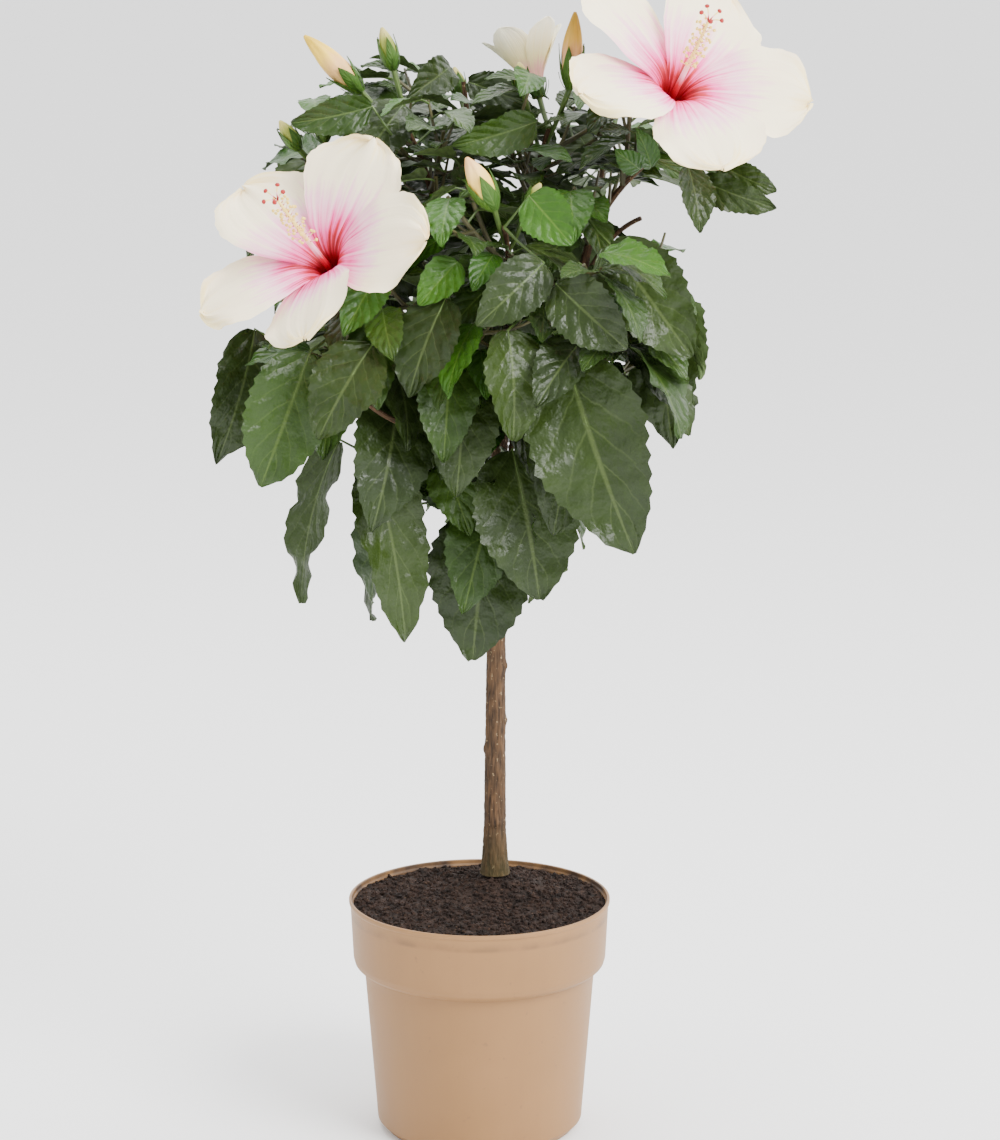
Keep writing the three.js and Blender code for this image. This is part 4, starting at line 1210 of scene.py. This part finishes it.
def petiole_part(leaf):
    """A leaf's stalk, which runs on under the blade as its midrib."""
    sag = mix(leaf["foot"], leaf["base"], 0.5) + (0, 0, -0.05 * leaf["length"] * leaf["age"])
    stalk = curve_at(bend(leaf["foot"], sag, leaf["base"]), np.array((0, 0.35, 0.7)))
    u = np.array((0.0, 0.14, 0.32, 0.52, 0.74))
    rib = blade_points(leaf, u, np.zeros(5), -0.3 * LEAF_THICKNESS - 0.1)
    size = 0.55 + 0.45 * min(1, leaf["length"] / 90)
    taper = np.array((1.25, 1, 0.95, 0.95, 0.85, 0.7, 0.5, 0.2))
    return tube_part(np.concatenate([stalk, rib]), size * taper, 6)


def vein_group():
    """The veins of a blade from its own map: a midrib, side veins that lean forwards, and puffs between."""
    group = bpy.data.node_groups.new("veins", "ShaderNodeTree")
    group.interface.new_socket(name="Map", in_out="INPUT", socket_type="NodeSocketVector")
    group.interface.new_socket(name="Vein", in_out="OUTPUT", socket_type="NodeSocketFloat")
    group.interface.new_socket(name="Puff", in_out="OUTPUT", socket_type="NodeSocketFloat")
    given = group.nodes.new("NodeGroupInput").outputs["Map"]
    wobble = node(group, "ShaderNodeTexNoise", {"Vector": given, "Scale": 7.0}).outputs["Fac"]
    aside = maths(group, "SUBTRACT", split_up(group, given, "X"), 0.5)
    across = times(group, maths(group, "ABSOLUTE", aside), 2.0)
    lean = maths(group, "ADD", times(group, across, -0.36), times(group, wobble, 0.06))
    along = maths(group, "ADD", split_up(group, given, "Y"), lean)
    phase = maths(group, "FRACT", times(group, along, VEIN_PAIRS))
    apart = maths(group, "ABSOLUTE", maths(group, "SUBTRACT", phase, 0.5))
    side_vein = times(group, ranged(group, apart, 0.43, 0.495), ranged(group, across, 0.0, 1.0, 0.7, 0.05))
    vein = maths(group, "MAXIMUM", side_vein, ranged(group, across, 0.02, 0.06, 1, 0))
    puff = times(group, ranged(group, apart, 0.5, 0.1), ranged(group, across, 0.02, 0.25))
    wired(group, group.nodes.new("NodeGroupOutput"), Vein=vein, Puff=puff)
    return group


VEINS = vein_group()


def leaf_paint(name, dark, light, vein, roughness, relief):
    """A leaf's face: cloudy green that differs from leaf to leaf, with paler veins and a quilted relief."""
    material, tree, shader = painted(name, Specular_IOR_Level=0.24)
    lay = node(tree, "ShaderNodeUVMap", uv_map="lay").outputs["UV"]
    veins = node(tree, "ShaderNodeGroup", {"Map": lay}, node_tree=VEINS).outputs
    tone = node(tree, "ShaderNodeAttribute", attribute_name="tone").outputs["Fac"]
    place = here(tree)
    cloud = mottle(tree, place, 55.0, detail=3.0, low=0.3, high=0.7)
    share = maths(tree, "ADD", times(tree, tone, 0.6), times(tree, cloud, 0.4))
    colour = blend(tree, times(tree, veins["Vein"], 0.42), blend(tree, share, dark, light), vein)
    rough = ranged(tree, mottle(tree, place, 120.0), 0, 1, roughness, roughness + 0.12)
    wired(tree, shader, Base_Color=colour, Roughness=rough)
    crinkle = mottle(tree, place, 150.0, detail=2.0)
    bumped(tree, shader, maths(tree, "ADD", veins["Puff"], crinkle), relief)
    return material


LEAF_UNDER = leaf_paint("leaf_under", (62, 80, 42), (80, 98, 51), (107, 123, 74), 0.5, 0.3)
LEAF_AGES = {
    "old": ((27, 39, 14), (45, 61, 19), (87, 101, 58), 0.29),
    "middle": ((32, 51, 15), (49, 72, 20), (90, 110, 51), 0.31),
    "young": ((36, 69, 14), (55, 92, 21), (92, 119, 47), 0.34),
}
FOLIAGE = [f"foliage_{name}" for name in MASSES]


def leaf_age(leaf):
    """Leaves darken as they age. The smallest, at the ends of shoots, are the youngest."""
    if leaf["age"] < YOUNG_AGE and leaf["length"] < 60:
        return "young"
    if leaf["age"] < MIDDLE_AGE or leaf.get("kind") == "tufts":
        return "middle"
    return "old"


for age, look in LEAF_AGES.items():
    paint = leaf_paint(f"leaf_{age}", *look, relief=0.45)
    blades = [leaf_part(leaf) for leaf in leaves if leaf_age(leaf) == age]
    joined_piece(f"leaves_{age}", blades, [paint, LEAF_UNDER], FOLIAGE)


def green_stem(name, dark, light):
    """Soft green stem, streaked along its length and flushed in places."""
    material, tree, shader = painted(name, Roughness=0.5)
    grain = node(tree, "ShaderNodeAttribute", attribute_name="grain").outputs["Vector"]
    streak = mottle(tree, stretched(tree, grain, 1, 1, 0.1), 800.0)
    wired(tree, shader, Base_Color=blend(tree, streak, dark, light))
    bumped(tree, shader, streak, 0.1)
    return material


STALK_GREEN = green_stem("stalk_green", (49, 72, 26), (83, 105, 44))
joined_piece("leaf_stalks", [petiole_part(leaf) for leaf in leaves], [STALK_GREEN], FOLIAGE)


# ---------------------------------------------------------------- shoots and twigs
# The shoots that carry the leaves: woody and brown where they leave the boughs, green and soft at their ends.
WAYS_ALONG = np.linspace(0, 1, 12)


def shoot_part(shoot, sides):
    """A tapering shoot, a little thicker where it leaves its stem."""
    radii = mix(*shoot["radii"], WAYS_ALONG) + 0.5 * np.exp(-WAYS_ALONG * 12)
    return tube_part(curve_at(shoot["curve"], WAYS_ALONG), radii, sides)


main_shoots = [{**mass["shoots"][0], "curve": mass["shoots"][0]["curve"].copy()} for mass in masses]
for mass, shoot in zip(masses, main_shoots):
    if mass["form"]["from"] in BOUGHS:
        shoot["curve"][0] = BOUGH_CURVES[mass["form"]["from"]][2] - heading_at(shoot["curve"], 0)[0] * 0.5
joined_piece("main_shoots", [shoot_part(shoot, 10) for shoot in main_shoots], [BARK], FOLIAGE)
GREEN_WOOD = green_stem("green_wood", (54, 54, 29), (85, 81, 45))
twigs = [shoot for mass in masses for shoot in mass["shoots"][1:] + mass["twigs"]]
joined_piece("twigs", [shoot_part(shoot, 7) for shoot in twigs], [GREEN_WOOD], FOLIAGE)

# Two bare brown stubs are left where stems were cut or lost their leaves.
STUBS = [
    shoot_of(bend((70, -2, 566), (82, -8, 592), (101, -18, 601)), (1.7, 1.5)),
    shoot_of(bend((-22, -40, 470), (-48, -66, 476), (-67, -78, 494)), (2.1, 1.6)),
]
joined_piece("cut_stubs", [shoot_part(stub, 10) for stub in STUBS], [BARK], FOLIAGE)


# ---------------------------------------------------------------- blossoms
# Each open blossom has five broad overlapping petals with ruffled rims, cream with a pink flush from
# a deep red throat, and a long column with yellow stamens and five round red stigmas. One is half open.
PETAL_ROWS = 40
PETAL_COLUMNS = 22
PETAL_THICKNESS = 0.5
CRENATION = 0.022
RIM_WAVE = 1.3
STAMENS = 46
STAMEN_START = 0.48
STIGMAS = 5
REACH_SHARE = 0.75           # squeezes the way out from the foot of a petal, with its streaks, into 0 to 1
RED, CRIMSON, PINK = (128, 2, 14), (196, 8, 48), (244, 82, 160)
BLUSH, CREAM, STRAW, PEACH = (253, 192, 212), (255, 241, 206), (252, 232, 168), (255, 214, 186)


def petal_part(flower, number):
    """One petal, whose rim is ruffled and finely scalloped."""
    v = np.linspace(-1, 1, PETAL_COLUMNS + 1)
    grid = np.zeros((PETAL_ROWS + 1, len(v), 3))
    uv = np.zeros((PETAL_ROWS + 1, len(v), 2))
    size = flower["open"] * flower["petal"] / 75
    for row in range(PETAL_ROWS + 1):
        s = row / PETAL_ROWS
        u = 0.9995 - 0.9945 * (1 - s) ** 1.6
        scallop = 1 + CRENATION * (math.sin(54 * s + number) + 0.5 * math.sin(131 * s + 2 * number)) * s
        frill = 2.6 * size * u * u * np.abs(v) ** 3 * np.sin(17 * s + 2.4 * number + np.where(v < 0, 0, 1.7))
        frill += 1.5 * size * u ** 5 * np.sin(7.5 * v + 1.3 * number)
        frill += 0.35 * size * u * np.cos(19 * v + number)
        grid[row] = petal_points(flower, number, u, v * scallop, frill)
        uv[row] = np.stack([v / 2 + 0.5, np.full(len(v), u)], axis=1)
    outward = unit(grid[-1, PETAL_COLUMNS // 2] - grid[0, PETAL_COLUMNS // 2])
    wave = RIM_WAVE * size * (np.sin(9 * v + 2 * number) + 0.6 * np.sin(21 * v + 5 * number))
    grid += (uv[..., 1] ** 5 * wave)[..., None] * outward
    return sheet_part(grid, PETAL_THICKNESS, uv, number / 4)


def ramp(tree, factor, stops):
    """Colours along a factor, as pairs of a place and a colour."""
    made = node(tree, "ShaderNodeValToRGB", {"Fac": factor})
    points = made.color_ramp.elements
    while len(points) < len(stops):
        points.new(0.5)
    for point, (place, colour) in zip(points, stops):
        point.position = place
        point.color = srgb(*colour)
    return made.outputs["Color"]


def petal_paint(name, stops, spread, bow, relief=0.25):
    """Petal skin coloured from its foot to its rim, along streaks that fan out, with fine raised veins."""
    material, tree, shader = painted(name, Roughness=0.5, Specular_IOR_Level=0.3)
    lay = node(tree, "ShaderNodeUVMap", uv_map="lay").outputs["UV"]
    along = split_up(tree, lay, "Y")
    tone = node(tree, "ShaderNodeAttribute", attribute_name="tone").outputs["Fac"]
    apart = node(tree, "ShaderNodeCombineXYZ", {"Z": times(tree, tone, 9)}).outputs["Vector"]
    fanned = stretched(tree, lay, 26, 1.6, 1)
    moved = node(tree, "ShaderNodeVectorMath", {0: fanned, 1: apart}, operation="ADD").outputs[0]
    streak = mottle(tree, moved, 1.0, detail=3.0, low=0.3, high=0.7)
    place = here(tree)
    cloud = mottle(tree, place, 60.0, low=0.3, high=0.7)
    centred = maths(tree, "SUBTRACT", split_up(tree, lay, "X"), 0.5)
    reach = along
    for value, share in ((streak, spread), (cloud, spread / 2), (times(tree, centred, centred), bow)):
        reach = maths(tree, "ADD", reach, times(tree, value, share))
    colour = ramp(tree, times(tree, reach, REACH_SHARE), stops)
    tint = mottle(tree, place, 24.0, detail=2.0, low=0.45, high=0.75)
    warmth = times(tree, tint, ranged(tree, along, 0.55, 0.8))
    wired(tree, shader, Base_Color=blend(tree, times(tree, warmth, 0.25), colour, PEACH))
    bumped(tree, shader, streak, relief, 0.6)
    return material


def ball_part(centre, axis, radius, flatness=1.0, tone=0.0):
    """A small ball, flattened along its axis."""
    angles = np.array((0.12, 0.3, 0.5, 0.7, 0.88)) * math.pi
    points = centre - axis * (np.cos(angles) * radius * flatness)[:, None]
    return {**tube_part(points, np.sin(angles) * radius, 7), "tone": tone}


def column_curve(flower):
    """The column rises from the throat and lifts a little at its end."""
    axis, long = flower["axis"], flower["petal"] * flower["column"]
    throat = flower["throat"]
    return bend(flower["base"], throat + axis * long * 0.45, throat + axis * long + (0, 0, 4))


def column_parts(flower):
    """The column, its stamens and its stigmas, as lists of parts by kind."""
    curve = column_curve(flower)
    ways = np.linspace(0, 1, 16)
    column = tube_part(curve_at(curve, ways), mix(2.3, 0.8, ways), 12)
    made = {"column": [column], "anthers": [], "stigmas": []}
    stream = chances(901)
    axis = flower["axis"]
    right, up = level_pair(axis)
    for i in range(STAMENS):
        t = mix(STAMEN_START, 0.95, (i + next(stream)) / STAMENS)
        angle = math.radians(GOLDEN_ANGLE * i + next(stream) * 30)
        radial = right * math.cos(angle) + up * math.sin(angle)
        foot = curve_at(curve, t)[0]
        length = mix(5, 8, next(stream))
        end = foot + radial * length * 0.85 + axis * length * mix(0.1, 0.7, next(stream))
        filament = bend(foot, mix(foot, end, 0.5) + radial * 0.8, end)
        made["column"].append(tube_part(curve_at(filament, np.linspace(0, 1, 4)), np.full(4, 0.24), 4))
        made["anthers"].append(ball_part(end, unit(radial + up * 0.3), 1.15, 0.75, next(stream)))
    top = curve_at(curve, 1)[0]
    for i in range(STIGMAS):
        angle = math.radians(360 / STIGMAS * i + 20)
        radial = right * math.cos(angle) + up * math.sin(angle)
        end = top + radial * 7 + axis * 6
        branch = bend(top - axis * 0.5, top + axis * 4 + radial * 2, end)
        made["column"].append(tube_part(curve_at(branch, np.linspace(0, 1, 5)), np.full(5, 0.42), 5))
        made["stigmas"].append(ball_part(end, unit(radial + axis), 1.6, 0.75, i / STIGMAS))
    return made


BLOSSOM_STOPS = (
    (0.27, RED), (0.33, CRIMSON), (0.39, PINK), (0.52, BLUSH), (0.64, CREAM), (0.8, CREAM), (0.93, STRAW),
)
PALE_STOPS = (
    (0.12, (186, 200, 100)), (0.3, (253, 180, 176)), (0.48, (255, 238, 176)), (0.8, (255, 252, 226)),
)
COLUMN_STOPS = ((0.2, RED), (0.3, CRIMSON), (0.4, BLUSH), (0.52, (254, 226, 130)))
BLOSSOM_SKIN = petal_paint("petal_blossom", BLOSSOM_STOPS, 0.2, 0.35)
PALE_SKIN = petal_paint("petal_pale", PALE_STOPS, 0.16, 0.2)
COLUMN_SKIN = petal_paint("petal_column", COLUMN_STOPS, 0.08, 0.0, 0.05)
for name, flower in FLOWERS.items():
    petals = [petal_part(flower, number) for number in range(PETALS)]
    paint = BLOSSOM_SKIN if flower["open"] == 1 else PALE_SKIN
    joined_piece(f"blossom_{name}", petals, [paint], [f"flower_{name}"])


def speckled(name, first, second, roughness):
    """A grainy skin in two colours, for pollen and stigmas."""
    material, tree, shader = painted(name, Roughness=roughness)
    grains = mottle(tree, here(tree), 2600.0)
    wired(tree, shader, Base_Color=blend(tree, grains, first, second))
    bumped(tree, shader, grains, 0.5, 0.0003)
    return material


POLLEN = speckled("petal_pollen", (232, 190, 70), (250, 226, 128), 0.8)
STIGMA = speckled("petal_stigma", (128, 8, 12), (186, 34, 26), 0.6)
centres = [column_parts(flower) for flower in FLOWERS.values() if flower["open"] == 1]
HEARTS = ["flower_left", "flower_right"]
for kind, paint in (("column", COLUMN_SKIN), ("anthers", POLLEN), ("stigmas", STIGMA)):
    pieces = [part for made in centres for part in made[kind]]
    joined_piece(f"blossom_{kind}", pieces, [paint], HEARTS)


# ---------------------------------------------------------------- calyces, buds and their stalks
# A blossom and a bud each sit in a green calyx of five pointed sepals, with a ring of narrow bracts below it.
# A bud's petals are rolled round each other. Large buds show their colour, and small ones are still green.
SEPALS = 5
EPICALYX = 7
SEPAL_THICKNESS = 0.4
FLOWER_STALK_RADII = (1.5, 2)
BUD_STALK_RADII = (1.2, 1.9)
BUD_ROWS = 22
BUD_SIDES = 30
BUD_TWIST = 2.1
CALYX_SHARES = {"yellow": 0.45, "golden": 0.58, "cream": 0.68}


def round_axis(foot, axis, forward, out, angle):
    """Points some way along an axis and out from it, at an angle round it."""
    right, up = level_pair(axis)
    forward, out, angle = np.broadcast_arrays(forward, out, angle)
    spoke = right * np.cos(angle)[..., None] + up * np.sin(angle)[..., None]
    return foot + axis * forward[..., None] + spoke * out[..., None]


def green_sheet(grid, u, v, tone):
    """A sepal or bract from its grid of points, with u along it and v across it."""
    uv = np.stack(np.broadcast_arrays(v / 2 + 0.5, u), axis=-1)
    return sheet_part(grid[:, ::-1], SEPAL_THICKNESS, uv, tone)


def sepal_part(foot, axis, number, length, out_at, flare):
    """A pointed sepal that follows a shape below it, stands off at its tip and overlaps the next one."""
    u = np.linspace(0, 1, 10)[:, None]
    v = np.linspace(-1, 1, 7)
    narrow = 1 - np.clip((u - 0.3) / 0.7, 0, 1) ** 1.2 * 0.97
    angle = math.radians(360 / SEPALS * number) + math.radians(40) * v * narrow
    out = out_at(u * length) + 0.55 + 0.3 * v * (1 - u) + flare * np.clip(u - 0.45, 0, 1) ** 2
    grid = round_axis(foot, axis, u * length - 0.6, out, angle)
    return green_sheet(grid, u, v, number / SEPALS)


def bract_part(foot, axis, number, length, start):
    """A narrow bract that leans out and curves up again."""
    u = np.linspace(0, 1, 7)[:, None]
    v = np.linspace(-1, 1, 3)
    out = start + length * (0.62 * u - 0.2 * u ** 2)
    half = 0.9 * np.sin(np.pi * np.clip(u * 0.82 + 0.14, 0, 0.985))
    angle = math.tau * number / EPICALYX + half * v / out
    grid = round_axis(foot, axis, length * (0.5 * u + 0.3 * u ** 2) - 1.2, out, angle)
    return green_sheet(grid, u, v, number / EPICALYX)


def bud_swell(bud, t):
    """A bud's radius along it: fullest below its middle, drawn out to a blunt point."""
    return (bud["radius"] - 0.5) * np.sin(np.pi * np.clip(t, 0.02, 0.985) ** 0.76) ** 0.8 + 0.5


def bud_part(bud, length, axis):
    """The rolled petals of a bud, in five twisted lobes."""
    t = np.linspace(0.02, 0.985, BUD_ROWS)[:, None]
    angle = np.arange(BUD_SIDES) * math.tau / BUD_SIDES
    lobe = np.cos(5 * (angle - BUD_TWIST * t) / 2)
    out = bud_swell(bud, t) * (0.84 + 0.16 * np.abs(lobe) ** 0.5)
    rings = round_axis(bud["base"], axis, t * length, out, angle)
    uv = np.stack(np.broadcast_arrays(angle / math.tau, t), axis=-1)
    faces = ring_faces(BUD_ROWS, BUD_SIDES)
    return {"points": rings.reshape(-1, 3), "faces": faces, "uv": uv.reshape(-1, 2), "tone": 0.5}


BUD_STOPS = {
    "yellow": (
        (0.2, (214, 180, 110)), (0.4, (236, 184, 116)), (0.55, (236, 196, 70)), (0.72, (206, 170, 40)),
    ),
    "golden": (
        (0.2, (206, 190, 110)), (0.38, (226, 168, 124)), (0.54, (206, 160, 58)), (0.72, (168, 128, 34)),
    ),
    "cream": ((0.2, (190, 200, 96)), (0.4, (240, 198, 90)), (0.62, (250, 206, 108)), (0.75, (232, 172, 84))),
    "green": ((0.2, (85, 110, 35)), (0.6, (143, 150, 62)), (0.75, (184, 175, 98))),
}
BUD_SKINS = {kind: petal_paint(f"petal_{kind}_bud", stops, 0.12, 0.0) for kind, stops in BUD_STOPS.items()}
CALYX_GREEN = leaf_paint("calyx_green", (47, 78, 23), (76, 107, 36), (103, 128, 62), 0.4, 0.2)
calyx, bracts, stalks = [], [], []
for flower in FLOWERS.values():
    axis, foot = flower["axis"], flower["base"]

    def tube_out(forward, small=flower["open"]):
        return 3.6 + 0.2 * forward * small

    calyx += [sepal_part(foot, axis, number, 17, tube_out, 9) for number in range(SEPALS)]
    bracts += [bract_part(foot, axis, number, 13, 3.4) for number in range(EPICALYX)]
    tip = np.array(MASSES[flower["mass"]]["tip"])
    stalks.append(shoot_of(bend(tip, mix(tip, foot, 0.5) + (0, 0, -2), foot), FLOWER_STALK_RADII))
for name, bud in BUDS.items():
    span = bud["tip"] - bud["base"]
    length = np.linalg.norm(span)
    axis = span / length

    def body_out(forward, bud=bud, length=length):
        return bud_swell(bud, forward / length)

    covered = CALYX_SHARES.get(name, 0.8) * length
    calyx += [sepal_part(bud["base"], axis, number, covered, body_out, 6) for number in range(SEPALS)]
    bracts += [bract_part(bud["base"], axis, number, 8 + length * 0.12, 2.2) for number in range(EPICALYX)]
    paint = BUD_SKINS.get(name, BUD_SKINS["green"])
    joined_piece(f"bud_{name}", [bud_part(bud, length, axis)], [paint], [f"foliage_{bud['mass']}"])
    main = next(mass["main"] for mass in masses if mass["name"] == bud["mass"])
    stalks.append(shoot_of(bud_stalk(bud, main), BUD_STALK_RADII))
CARRIERS = FOLIAGE + [f"flower_{name}" for name in FLOWERS]
joined_piece("calyx", calyx, [CALYX_GREEN], CARRIERS)
joined_piece("bracts", bracts, [CALYX_GREEN], CARRIERS)
joined_piece("flower_stalks", [shoot_part(stalk, 8) for stalk in stalks], [STALK_GREEN], CARRIERS)
